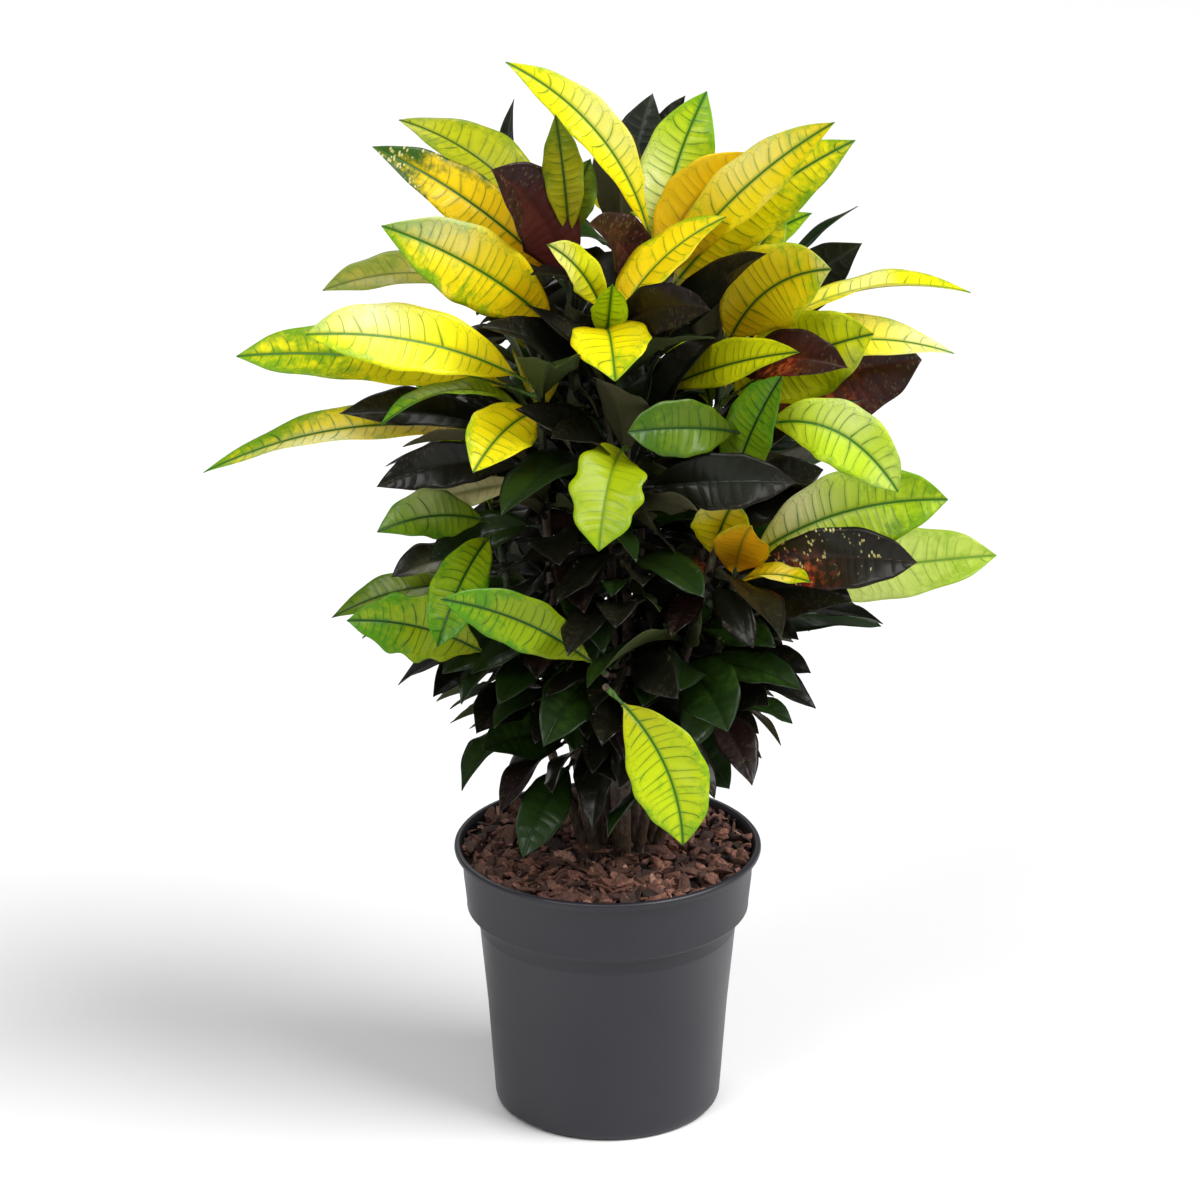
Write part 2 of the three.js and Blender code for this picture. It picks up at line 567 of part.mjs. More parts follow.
LEAVES.forEach(([piece, z, tip, look, width, arch], i) => {
  const stations = BROAD.includes(i + 1) ? BROAD_STATIONS : STATIONS;
  place(piece, i + 1, leafFoot(piece, z), vector(tip), vector(look), width, arch, 0, stations);
});

// The other leaves follow the golden angle up each stem: they hang low down and stand up at the top
const insideCrown = (p) =>
  p.toArray().reduce((sum, v, i) => sum + ((v - CROWN.middle[i]) / CROWN.reach[i]) ** 2, 0) < 1;

function grow(piece, seed, z, azimuth, climb, length) {
  if (FALLEN.includes(seed)) return;
  const foot = leafFoot(piece, z);
  const rise = radians(climb + (draw(seed + 0.1) - 0.5) * UNEVEN.climb);
  const out = vector([Math.cos(azimuth) * Math.cos(rise), Math.sin(azimuth) * Math.cos(rise), Math.sin(rise)]);
  let reach = length * (1 + (draw(seed + 0.2) - 0.5) * UNEVEN.length);
  while (reach > SHORTEST_LEAF && !insideCrown(foot.clone().addScaledVector(out, reach))) reach *= 0.95;
  const tip = foot.clone().addScaledVector(out, reach);
  const roll = (draw(seed + 0.4) - 0.5) * UNEVEN.roll;
  place(piece, seed, foot, tip, null, reach * LEAF_SHAPE.width, reach * LEAF_SHAPE.arch, roll, FEW_STATIONS);
}

STEMS.forEach(([name, , top, , cut], index) => {
  const start = draw(index + 0.7) * 360;
  let seed = 1000 * (index + 1);
  const azimuth = () => radians(start + seed * GOLDEN_ANGLE);
  for (let z = top[2] - BARE_TIP; z > cut + BARE_END; z -= SHOOT_STEP) {
    seed += 1;
    const share = (z - cut) / (top[2] - cut);
    grow("shoot_" + name, seed, z, azimuth(), SHOOT_CLIMB.low + SHOOT_CLIMB.gain * share, SHOOT_LEAF);
  }
  for (let z = cut - BARE_END; z > LEAF_FROM; z -= WOOD_STEP) {
    seed += 1;
    const share = (z - LEAF_FROM) / (top[2] - LEAF_FROM);
    const climb = WOOD_CLIMB.low + WOOD_CLIMB.gain * share;
    grow("stem_" + name, seed, z, azimuth(), climb, WOOD_LEAF.low + WOOD_LEAF.gain * share);
  }
});

const plant = new THREE.Group();
for (const { name, colour, parts } of pieces.values()) {
  const solid = parts.length > 1 ? wholeOf(wasm.Manifold.union(parts)) : parts[0];
  const roughness = colour === BARK || colour === SOIL ? 0.95 : 0.45;
  const material = new THREE.MeshStandardMaterial({ color: colour, roughness, metalness: 0 });
  const mesh = new THREE.Mesh(geometryOf(solid), material);
  mesh.name = name;
  plant.add(mesh);
}

export default plant;
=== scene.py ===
import functools
import math

import bmesh
import bpy
import numpy as np
from mathutils.bvhtree import BVHTree
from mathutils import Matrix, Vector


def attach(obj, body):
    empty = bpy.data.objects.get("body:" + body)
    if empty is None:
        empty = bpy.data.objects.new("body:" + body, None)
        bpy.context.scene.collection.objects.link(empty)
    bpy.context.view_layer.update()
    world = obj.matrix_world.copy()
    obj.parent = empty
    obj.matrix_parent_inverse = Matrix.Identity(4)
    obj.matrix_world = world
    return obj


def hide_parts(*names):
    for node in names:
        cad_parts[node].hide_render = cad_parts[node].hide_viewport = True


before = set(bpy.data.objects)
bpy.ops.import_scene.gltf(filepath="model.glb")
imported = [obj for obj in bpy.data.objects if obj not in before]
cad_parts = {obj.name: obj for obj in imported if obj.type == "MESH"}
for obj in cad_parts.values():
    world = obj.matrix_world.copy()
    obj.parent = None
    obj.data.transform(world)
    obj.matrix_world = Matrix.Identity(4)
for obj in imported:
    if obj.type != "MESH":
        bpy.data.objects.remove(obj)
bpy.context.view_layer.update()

MM = 0.001

# The pot and its filling, as in the CAD. The sides are the mesh's own
RIM_RADIUS = 120
POT_HEIGHT = 218
BASE_RADIUS = 84.5
COLLAR_RADIUS = 110
COLLAR_FOOT = 166.5
BODY_TOP = 160
BODY_RADIUS = 101.7
WALL = 1.8
FLOOR = 3
POT_SIDES = 144
DRAIN = {"ring": 62, "radius": 5, "count": 6, "first": 30, "sides": 24}
NOTCH = {"angles": (222, 342, 102), "width": 36, "height": 3.4, "depth": 6}
SOIL_TOP = 190
MULCH_TOP = 210
MULCH_SIDES = 72

# Bark chips
CHIP_SEED = 7
CHIP_COUNT = 1500
CHIP_KINDS = 24
CHIP_CUTS = 7
CHIP_SIZE = (2.2, 8.2)
CHIP_SHAPE = ((1.1, 2.3), (0.7, 1.15), (0.25, 0.7))
BARK_COLOURS = np.array([
    (0.165, 0.072, 0.048), (0.105, 0.046, 0.032), (0.23, 0.106, 0.074), (0.05, 0.024, 0.017),
    (0.34, 0.19, 0.14),
])
BARK_SHARES = (0.34, 0.28, 0.18, 0.15, 0.05)
# The mulch under the chips is near black: painted shade for the gaps between them
UNDER_CHIPS_SHADE = (0.012, 0.006, 0.004, 1)

# The stems, as in the CAD
STEM_FOOT = 150
STRAIGHT_TO = 216
STEM_RADIUS = (4.6, 2.3)
STEM_SIDES = 14
JOINT = 0.7
SCAR = 0.35
SHOOT_GAP = 0.35
TWIG_RADIUS = 2.4
GOLDEN_ANGLE = 137.5

# The leaf, as shares of its midrib's length
PETIOLE = 0.13
OUTLINE = {"lean": 1.04, "round": 0.75, "last": 0.77}
BROAD_OUTLINE = {"lean": 1.15, "round": 0.62, "last": 0.86}
PETIOLE_HALF = 1.6
FOLD = math.radians(14)
WAVE = 3.2
RUFFLE = 0.5
PILLOW = 0.26
GROOVE = 0.7
RIB = 1.5
THICKNESS = {"margin": 0.14, "more_inside": 0.4}
STALK = {"radius": 1.55, "slimmer": 0.45, "swollen": 1.3}
LOBE_COUNT = 4.3
PLAIN_LOBE = 0.025

# Rows and columns of a blade's mesh: leaves listed one by one, by rule and in the middle of the plant
BLADES = ((58, 17), (32, 13), (18, 7))

# The leaves that follow the golden angle, as in the CAD. Climb and length are the value at the low end, and
# what is added up to the stem's top
LEAF_FROM = 276
BARE_TIP = 6
BARE_END = 10
SHOOT_RULE = {"step": 20, "climb": (26, 40), "length": (140, 0)}
WOOD_RULE = {"step": 29, "climb": (-30, 50), "length": (96, 60)}
SHORTEST_LEAF = 60
LEAF_SHAPE = (0.35, 0.12)
UNEVEN = {"climb": 24, "length": 0.3, "roll": 70}
CROWN = {"middle": (5, -5, 508), "reach": (225, 215, 270)}

# Rule leaves nearer to the viewer than this are dark
BRIGHT_BEHIND = 20

# Seeds of the rule leaves start at multiples of the first number, and those of the inner leaves at the second
STEM_SEEDS = 1000
INNER_SEEDS = 50000

# Smaller dark leaves that fill the middle of the plant wherever there is room
INNER = {
    "from": 296, "to": 690, "lowest": 284, "below_top": 30, "step": 7, "tries": 24, "length": (64, 48),
    "shape": (0.38, 0.10), "climb": (-25, 55), "climb_over": 400, "uneven": 50, "roll": 110,
}
STEM_ROOM = 1.5
BEST_VIEW = (0, 0.933, -0.361)
INNER_CROWN = {"middle": (8, 5, 480), "reach": (184, 186, 232)}
INNER_TONES = ("dark", "green", "dark", "green", "wine", "dark", "green", "dark")

UP = (0, 0, 1)
UP_FRONT = (0, -0.5, 1)
FRONT_UP = (0, -1, 0.8)
FRONT = (0, -1, 0.3)
FRONT_LEFT = (-0.7, -1, 0.2)
FRONT_RIGHT = (0.7, -1, 0.2)
BACK_UP = (0, 0.8, 0.7)

# Stems: name, foot x and y, top x, y and z, bow x and y, height where the young shoot starts
STEMS = [
  ["crown_left", [-4, 13], [-28, -18, 712], [-6, -4], 618],
  ["crown_right", [20, 8], [36, -8, 692], [-4, 0], 596],
  ["left", [-11, -2], [-50, -72, 642], [-10, -4], 556],
  ["front", [8, -5], [-2, -66, 668], [0, -8], 590],
  ["right", [34, 14], [86, -28, 630], [6, 2], 540],
  ["right_front", [24, -9], [106, -92, 596], [-4, -6], 506],
  ["right_low", [39, 2], [96, -78, 478], [6, 4], 416],
  ["front_low", [14, -19], [14, -102, 586], [0, -10], 508],
  ["left_low", [-20, 13], [-84, -50, 502], [-8, 4], 428],
  ["back_left", [-9, 29], [-78, 78, 654], [-2, 8], 566],
  ["back", [14, 33], [10, 92, 700], [-2, 12], 604],
  ["back_right", [36, 31], [102, 70, 612], [6, 8], 520],
  ["back_low", [4, 45], [-34, 120, 486], [-4, 10], 404],
]

# Short side twigs: name, the stem they sit on, height there, tip x, y and z
TWIGS = [
  ["twig_left", "left", 352, [-86, -78, 402]],
  ["twig_middle", "front_low", 372, [-2, -112, 404]],
  ["twig_low", "front_low", 354, [-2, -133, 402]],
]

# Leaves listed one by one: stem or twig, height of the leaf's foot, tip, the way it looks, width, arch, tone
LEAVES = [
  ["crown_right", 690, -75, -40, 855, FRONT_RIGHT, 37, 24, "yellow"],
  ["crown_right", 684, 73, 8, 820, FRONT, 54, 8, "lime"],
  ["crown_right", 676, 104, -24, 782, FRONT, 50, 12, "orange"],
  ["crown_right", 664, 164, -70, 818, FRONT_LEFT, 43, 12, "yellow"],
  ["crown_right", 652, 183, -4, 786, FRONT, 52, 14, "yellow_green"],
  ["crown_right", 640, 153, 26, 721, FRONT_UP, 40, 10, "lime"],
  ["crown_right", 610, 114, -110, 731, FRONT_UP, 32, 12, "dark"],
  ["crown_right", 655, -14, -72, 742, FRONT_UP, 44, 12, "burgundy"],
  ["crown_left", 688, -157, 52, 786, UP_FRONT, 52, 22, "olive_yellow"],
  ["crown_left", 672, -173, -32, 789, FRONT_UP, 44, 10, "speckled"],
  ["crown_left", 668, -85, -62, 780, FRONT_UP, 58, 14, "burgundy"],
  ["crown_left", 704, -42, -60, 821, FRONT, 31, 4, "olive"],
  ["crown_left", 708, -13, -16, 775, FRONT, 30, 4, "green_olive"],
  ["crown_left", 632, -164, -104, 750, FRONT, 60, 10, "yellow_green"],
  ["left", 614, -220, -112, 670, FRONT_UP, 54, 14, "yellow"],
  ["left", 606, -276, -50, 633, FRONT_UP, 46, 14, "yellow_green"],
  ["left", 568, -302, -62, 546, UP_FRONT, 34, 26, "yellow_green"],
  ["left", 584, -171, -96, 598, UP, 36, 28, "lime_deep"],
  ["left", 596, -98, -160, 581, FRONT_UP, 50, 10, "yellow"],
  ["left", 566, -198, -84, 600, UP_FRONT, 40, 12, "dark"],
  ["front", 660, 5, -150, 647, FRONT_UP, 60, 12, "yellow"],
  ["front", 642, 3, -112, 708, FRONT, 28, 3, "lime"],
  ["front", 666, -44, -104, 736, FRONT_UP, 30, 8, "gold"],
  ["front", 604, -92, -112, 676, UP_FRONT, 42, 12, "dark"],
  ["front", 650, 73, -140, 698, FRONT, 38, 12, "wine"],
  ["right", 624, 162, -90, 713, FRONT, 66, 18, "gold"],
  ["right", 614, 272, 0, 667, UP, 44, 30, "yellow"],
  ["right", 592, 259, -22, 626, UP_FRONT, 42, 26, "yellow"],
  ["right", 584, 190, -86, 659, FRONT, 68, 8, "gold"],
  ["right", 562, 236, -4, 615, FRONT, 76, 12, "burgundy"],
  ["right", 606, 174, -118, 647, FRONT_UP, 42, 12, "burgundy"],
  ["crown_right", 586, 138, -128, 662, FRONT_UP, 36, 6, "gold"],
  ["right_front", 586, 14, -150, 608, FRONT, 44, 4, "deep_green"],
  ["right_front", 524, 130, -122, 643, FRONT_LEFT, 46, 6, "fresh_green"],
  ["right_front", 590, 211, -150, 562, FRONT, 50, 26, "lime_light"],
  ["right_front", 490, 161, -56, 546, FRONT_UP, 46, 12, "dark"],
  ["right_low", 474, 253, -100, 543, FRONT, 64, 16, "lime_light"],
  ["right_low", 452, 292, -60, 479, FRONT_UP, 58, 4, "pale_lime"],
  ["right_low", 464, 232, -132, 505, FRONT, 48, 10, "spotted"],
  ["right_front", 476, 94, -112, 543, FRONT, 46, 4, "yellow"],
  ["right_low", 460, 105, -138, 531, FRONT, 44, 8, "ochre"],
  ["right_low", 462, 148, -150, 492, UP_FRONT, 26, 6, "yellow"],
  ["right_low", 426, 208, -60, 424, UP, 30, 12, "dark"],
  ["right_low", 436, 181, -112, 462, FRONT_UP, 54, 14, "dark"],
  ["front_low", 580, -7, -190, 531, FRONT, 54, 22, "yellow_lime"],
  ["front_low", 560, -46, -150, 606, UP_FRONT, 40, 10, "dark"],
  ["left_low", 500, -171, -104, 514, FRONT_UP, 40, 10, "leaf_green"],
  ["left_low", 496, -126, -140, 437, FRONT, 42, 12, "lime_deep"],
  ["left_low", 462, -163, -60, 462, UP_FRONT, 36, 10, "dark"],
  ["left_low", 440, -210, -40, 421, UP_FRONT, 30, 14, "green_olive"],
  ["left", 548, -173, -66, 532, FRONT_LEFT, 36, 12, "dark"],
  ["twig_left", 400, -195, -100, 442, FRONT, 50, 10, "lime_deep"],
  ["twig_middle", 402, -122, -180, 490, FRONT, 42, 10, "lime_deep"],
  ["twig_low", 400, 56, -152, 282, FRONT, 60, 16, "lime"],
  ["back_left", 380, -134, -30, 352, UP_FRONT, 44, 12, "dark"],
  ["left_low", 344, -99, -100, 351, FRONT_UP, 40, 10, "dark"],
  ["front", 380, -48, -140, 357, FRONT, 46, 14, "green"],
  ["left", 312, -95, -80, 329, FRONT_UP, 44, 8, "green"],
  ["left", 296, -65, -95, 246, FRONT, 38, 8, "green"],
  ["right_front", 384, 89, -140, 369, FRONT, 52, 12, "green"],
  ["right_front", 400, 69, -138, 452, FRONT_RIGHT, 34, 10, "green"],
  ["right_low", 404, 142, -110, 431, UP_FRONT, 34, 8, "dark"],
  ["right_low", 376, 154, -60, 384, UP_FRONT, 34, 10, "dark"],
  ["right", 350, 146, -36, 362, UP_FRONT, 32, 10, "dark"],
  ["right_low", 344, 126, -92, 372, FRONT_UP, 36, 10, "dark"],
  ["right", 316, 110, -40, 315, UP_FRONT, 38, 10, "dark"],
  ["right_front", 316, 92, -92, 302, FRONT, 40, 10, "green"],
  ["back_left", 520, -72, 40, 700, UP, 26, 10, "dark"],
  ["back_left", 640, -215, 20, 662, UP_FRONT, 44, 16, "pale_olive"],
  ["back", 660, 5, 60, 788, BACK_UP, 40, 6, "dark"],
  ["back", 676, 34, 108, 791, FRONT, 42, 4, "slate"],
  ["back", 682, 59, 124, 785, UP_FRONT, 30, 6, "dark"],
  ["back_right", 604, 189, 62, 716, UP, 16, 12, "green"],
  ["back_right", 590, 191, 30, 696, FRONT, 46, 8, "slate"],
  ["left", 536, -161, -52, 488, FRONT, 26, 8, "cream"],
  ["back_left", 648, -71, 70, 797, FRONT_LEFT, 16, 8, "slate"],
  ["front_low", 544, 137, -140, 566, FRONT, 44, 4, "dark"],
]

# Which of them, counted from 1, are broad and blunt
BROAD = (15, 16, 26, 29, 30, 33, 35, 37, 38, 39, 45, 48)

# How deep the margin's lobes are on some of them, as a share of the width
LOBES = {16: 0.04, 45: 0.075, 47: 0.04, 52: 0.09, 53: 0.035}

# Painted sheens on some of them, pale patches that stand in for glossy highlights: share of the length, side or
# 0 for both, strength
PAINTED_SHEENS = {
    1: (0.5, 1, 0.55), 2: (0.4, -1, 0.75), 4: (0.62, -1, 0.45), 14: (0.76, 1, 0.6), 15: (0.74, 1, 0.85),
    17: (0.6, -1, 0.75), 28: (0.92, 0, 0.9), 35: (0.5, -1, 0.45), 37: (0.26, -1, 0.95), 38: (0.45, 0, 0.35),
    47: (0.5, 1, 0.3), 49: (0.6, -1, 0.3),
}

# Red flushes on a few dark ones, in the same terms
REDS = {30: (0.44, 0, 0.55), 31: (0.42, 1, 1.0), 39: (0.2, 1, 1.2), 2010: (0.72, -1, 0.8)}
NO_PATCH = (0.5, 0, 0)
PATCH_LENGTH = 0.2

# How near to a leaf's tip its CAD solid has to have a corner
SAME_POINT = 0.06

# Turnings that the CAD may give a leaf to keep it clear, in degrees sideways and upwards
TURNS = [
  [0, 0], [5, 0], [-5, 0], [0, 6], [0, -6], [9, 5], [-9, 5], [9, -6], [-9, -6], [0, 13],
  [14, 0], [-14, 0], [0, -13], [16, 12], [-16, 12], [16, -12], [-16, -12], [24, 0], [-24, 0],
  [24, 18], [-24, 18], [34, -6], [-34, -6], [0, 26], [44, 8], [-44, 8],
]

# Colours of a leaf: blade, margin and tip, veins. Then how far the margin's colour spreads, how many spots it
# has, and how strongly its veins show
TONES = {
  "gold": ((0.84, 0.77, 0.006), (0.5, 0.62, 0.008), (0.05, 0.13, 0.008), 0.05, 0.0, (8, 0.88)),
  "yellow": ((0.97, 0.87, 0.005), (0.44, 0.62, 0.008), (0.07, 0.2, 0.008), 0.04, 0.0, (10, 0.86)),
  "orange": ((0.97, 0.68, 0.008), (0.82, 0.64, 0.01), (0.26, 0.12, 0.012), 0.02, 0.0, (9, 0.55)),
  "ochre": ((0.84, 0.54, 0.01), (0.55, 0.48, 0.012), (0.26, 0.24, 0.015), 0.06, 0.0, (8, 0.65)),
  "yellow_green": ((0.93, 0.83, 0.005), (0.24, 0.46, 0.008), (0.045, 0.16, 0.008), 0.22, 0.0, (9, 0.93)),
  "yellow_lime": ((0.44, 0.49, 0.004), (0.26, 0.42, 0.005), (0.075, 0.18, 0.005), 0.14, 0.0, (8, 0.7)),
  "olive_yellow": ((0.58, 0.53, 0.008), (0.24, 0.33, 0.008), (0.04, 0.1, 0.008), 0.22, 0.0, (8, 0.94)),
  "lime": ((0.6, 0.76, 0.006), (0.28, 0.54, 0.008), (0.035, 0.16, 0.006), 0.18, 0.0, (7, 0.97)),
  "lime_light": ((0.66, 0.74, 0.02), (0.26, 0.49, 0.008), (0.05, 0.19, 0.008), 0.18, 0.0, (8, 0.96)),
  "lime_deep": ((0.33, 0.52, 0.006), (0.1, 0.29, 0.006), (0.014, 0.07, 0.005), 0.3, 0.0, (7, 0.99)),
  # A lime leaf whose pale, whitish colour is partly its own and partly painted sheen
  "pale_lime": ((0.64, 0.74, 0.13), (0.42, 0.6, 0.045), (0.16, 0.33, 0.025), 0.16, 0.0, (9, 0.8)),
  "deep_green": ((0.105, 0.165, 0.005), (0.045, 0.11, 0.004), (0.012, 0.05, 0.004), 0.3, 0.0, (8, 0.94)),
  "leaf_green": ((0.17, 0.27, 0.008), (0.07, 0.17, 0.006), (0.018, 0.07, 0.006), 0.3, 0.0, (8, 0.94)),
  "fresh_green": ((0.2, 0.37, 0.008), (0.09, 0.26, 0.008), (0.008, 0.04, 0.005), 0.3, 0.0, (7, 0.99)),
  "green_olive": ((0.24, 0.31, 0.015), (0.11, 0.21, 0.008), (0.025, 0.07, 0.007), 0.3, 0.0, (9, 0.92)),
  "green": ((0.014, 0.036, 0.0035), (0.009, 0.024, 0.003), (0.006, 0.015, 0.003), 0.4, 0.0, (10, 0.5)),
  "olive": ((0.42, 0.42, 0.008), (0.19, 0.26, 0.01), (0.04, 0.09, 0.009), 0.3, 0.0, (8, 0.92)),
  "pale_olive": ((0.54, 0.53, 0.08), (0.3, 0.38, 0.045), (0.09, 0.14, 0.025), 0.26, 0.0, (9, 0.7)),
  "cream": ((0.6, 0.58, 0.26), (0.38, 0.44, 0.12), (0.16, 0.19, 0.06), 0.25, 0.0, (9, 0.55)),
  "dark": ((0.0056, 0.0066, 0.0028), (0.0062, 0.0052, 0.0028), (0.009, 0.012, 0.006), 0.4, 0.02, (10, 0.35)),
  "slate": ((0.02, 0.025, 0.021), (0.015, 0.018, 0.014), (0.07, 0.084, 0.068), 0.3, 0.0, (8, 0.55)),
  "burgundy": ((0.046, 0.01, 0.008), (0.018, 0.006, 0.005), (0.066, 0.014, 0.011), 0.4, 0.05, (10, 0.35)),
  "wine": ((0.012, 0.0048, 0.0036), (0.007, 0.0036, 0.003), (0.022, 0.007, 0.006), 0.4, 0.03, (10, 0.35)),
  "speckled": ((0.9, 0.74, 0.008), (0.035, 0.085, 0.01), (0.035, 0.11, 0.008), 0.24, 0.9, (9, 0.95)),
  "spotted": ((0.008, 0.0092, 0.0042), (0.009, 0.006, 0.004), (0.03, 0.02, 0.009), 0.3, 1.00, (9, 0.45)),
}
SHOOT_TONES = ("yellow", "yellow_green", "lime", "olive_yellow", "dark", "burgundy", "green")
WOOD_TONES = ("dark", "green", "dark", "wine", "dark", "dark")
FRONT_TONES = ("dark", "wine", "green", "dark", "green", "dark")
OWN_TONES = {2010: "wine", 4002: "yellow"}


def draw(seed):
    """A number from 0 to 1 that is always the same for one seed, as in the CAD."""
    value = math.sin(seed * 12.9898 + 4.1414) * 43758.5453
    return value - math.floor(value)


def unit(v):
    return v / np.linalg.norm(v, axis=-1, keepdims=True)


def turned(v, axis, degrees):
    """v turned about a unit axis."""
    angle = math.radians(degrees)
    along = axis * np.dot(axis, v)
    return along + (v - along) * math.cos(angle) + np.cross(axis, v) * math.sin(angle)


def heading(azimuth, rise):
    """The direction at an azimuth and a climb, in radians."""
    return np.array([math.cos(azimuth) * math.cos(rise), math.sin(azimuth) * math.cos(rise), math.sin(rise)])


def pick(tones, seed):
    return tones[int(draw(seed + 0.9) * len(tones))]


# Pieces of mesh


def placed(name, data):
    """A new object in the scene."""
    made = bpy.data.objects.new(name, data)
    bpy.context.scene.collection.objects.link(made)
    return made


class Piece:
    """Collects parts of one mesh: points in millimetres, faces, and numbers for the materials at each point."""

    PLACES = ("leaf_place", "leaf_base", "leaf_edge", "leaf_vein", "leaf_wash")

    def __init__(self, name, node, slot, materials):
        self.name, self.node, self.slot, self.materials = name, node, slot, materials
        self.points, self.loops, self.sizes, self.kinds, self.smooth, self.uv = [], [], [], [], [], []
        self.places = {place: [] for place in self.PLACES}
        self.count = 0

    def add(self, points, faces, kind=0, uv=None, **places):
        """faces is a list of (array of corners, smooth)."""
        points = np.asarray(points, float).reshape(-1, 3)
        for corners, smooth in faces:
            corners = np.asarray(corners, np.int64)
            self.loops.append((corners + self.count).ravel())
            self.sizes.append(np.full(len(corners), corners.shape[1]))
            self.kinds.append(np.full(len(corners), kind))
            self.smooth.append(np.full(len(corners), smooth))
        self.points.append(points)
        self.uv.append(np.zeros((len(points), 2)) if uv is None else uv)
        for place in self.PLACES:
            value = np.asarray(places.get(place, (0, 0, 0, 1)), float)
            self.places[place].append(np.broadcast_to(value, (len(points), 4)))
        self.count += len(points)

    def finish(self):
        """Makes the object, which rides on the root body and stands for its CAD node."""
        mesh = bpy.data.meshes.new(self.name)
        points, loops = np.concatenate(self.points) * MM, np.concatenate(self.loops)
        sizes = np.concatenate(self.sizes)
        mesh.vertices.add(len(points))
        mesh.vertices.foreach_set("co", points.ravel())
        mesh.loops.add(len(loops))
        mesh.loops.foreach_set("vertex_index", loops)
        mesh.polygons.add(len(sizes))
        mesh.polygons.foreach_set("loop_start", np.concatenate(([0], np.cumsum(sizes)[:-1])))
        mesh.polygons.foreach_set("material_index", np.concatenate(self.kinds))
        mesh.update(calc_edges=True)
        mesh.polygons.foreach_set("use_smooth", np.concatenate(self.smooth))
        uv = mesh.uv_layers.new(name="UVMap")
        uv.data.foreach_set("uv", np.concatenate(self.uv)[loops].ravel())
        for place, values in self.places.items():
            layer = mesh.attributes.new(place, "FLOAT_COLOR", "POINT")
            layer.data.foreach_set("color", np.concatenate(values).ravel())
        for material in self.materials:
            mesh.materials.append(material)
        mesh.validate()
        made = placed(self.name, mesh)
        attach(made, "root")
        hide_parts(self.node)
        return made


def ring_angles(sides):
    return np.arange(sides) * 2 * math.pi / sides


def grid(rows, columns, closed=False):
    """Quads over a grid of points, row by row. Where it is closed, each row is a ring."""
    i, j = np.meshgrid(np.arange(rows - 1), np.arange(columns - (not closed)), indexing="ij")
    a, b = (i * columns + j).ravel(), (i * columns + (j + 1) % columns).ravel()
    return np.stack([a, b, b + columns, a + columns], 1)


def turned_faces(rows, sides):
    """Faces of a closed stack of rings. Its lowest and highest middle points follow its rings."""
    j = np.arange(sides)
    k, last, low = (j + 1) % sides, (rows - 1) * sides, j * 0 + rows * sides
    fans = [np.stack([k, j, low], 1), np.stack([j + last, k + last, low + 1], 1)]
    return [(grid(rows, sides, True), True), (np.concatenate(fans), True)]


def tube(middles, radii, sides, across=None):
    """A closed tube round a line of middles: points and faces. across is each ring's first direction."""
    middles = np.asarray(middles, float)
    along = unit(np.gradient(middles, axis=0))
    first = np.array([1.0, 0, 0]) if across is None else across
    first = unit(first - along * np.sum(first * along, 1, keepdims=True))
    second = np.cross(along, first)
    angle = ring_angles(sides)
    ring = first[:, None] * np.cos(angle)[None, :, None] + second[:, None] * np.sin(angle)[None, :, None]
    radii = np.asarray(radii, float)
    radii = radii[:, None, None] if radii.ndim == 1 else radii[..., None]
    points = (middles[:, None] + ring * radii).reshape(-1, 3)
    last = (len(middles) - 1) * sides
    caps = np.array([list(range(sides))[::-1], list(range(last, last + sides))])
    return points, [(grid(len(middles), sides, True), True), (caps, False)]


# Places of stems and leaves

STEM_NAMED = {stem[0]: stem for stem in STEMS}
TWIG_NAMED = {twig[0]: twig for twig in TWIGS}


def stem_point(stem, z):
    """A stem is straight in the mulch, and bows above it."""
    _, foot, top, bow, _ = stem
    h = max(0.0, (z - STRAIGHT_TO) / (top[2] - STRAIGHT_TO))
    swell = 4 * h * (1 - h)
    x = foot[0] + (top[0] - foot[0]) * h + bow[0] * swell
    y = foot[1] + (top[1] - foot[1]) * h + bow[1] * swell
    return np.array([x, y, z])


def stem_radius(stem, z):
    h = (z - STEM_FOOT) / (stem[2][2] - STEM_FOOT)
    return STEM_RADIUS[0] + (STEM_RADIUS[1] - STEM_RADIUS[0]) * h


def twig_ends(twig):
    _, mother, z, tip = twig
    return stem_point(STEM_NAMED[mother], z), np.array(tip, float)


def foot_at(name, z):
    """A leaf's foot at a height of a stem or a twig, and the CAD node that it sits on."""
    if name in STEM_NAMED:
        kind = "shoot_" if z > STEM_NAMED[name][4] else "stem_"
        return stem_point(STEM_NAMED[name], z), kind + name
    start, end = twig_ends(TWIG_NAMED[name])
    return start + (end - start) * (z - start[2]) / (end[2] - start[2]), name


@functools.cache
def node_corners(node):
    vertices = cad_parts[node].data.vertices
    corners = np.empty(len(vertices) * 3, np.float32)
    vertices.foreach_get("co", corners)
    return corners.reshape(-1, 3).astype(float) / MM


def placed_tip(node, foot, tip):
    """The leaf's tip after the turning that the CAD gave it to keep it clear, or None where it has no leaf."""
    vertical = np.array([0, 0, 1.0])
    for sideways, upwards in TURNS:
        out = tip - foot
        out = turned(out, unit(np.cross(vertical, out)), -upwards)
        moved = foot + turned(out, vertical, sideways)
        if np.abs(node_corners(node) - moved).max(1).min() < SAME_POINT:
            return moved
    return None


def make_leaf(seed, node, foot, tip, look, width, arch, roll, tone):
    chord = unit(tip - foot)
    lift = unit(np.array([0, 0, 1.0]) - chord * chord[2])
    control = (foot + tip) / 2 + lift * 2 * arch
    look = turned(lift, chord, roll) if look is None else np.array(look, float)
    length = np.linalg.norm(tip - foot)
    return {
        "seed": seed, "node": node, "foot": foot, "tip": tip, "control": control,
        "look": look, "width": width, "tone": tone, "length": length,
    }


def inside_crown(point, crown=CROWN):
    return sum(((v - m) / r) ** 2 for v, m, r in zip(point, crown["middle"], crown["reach"])) < 1


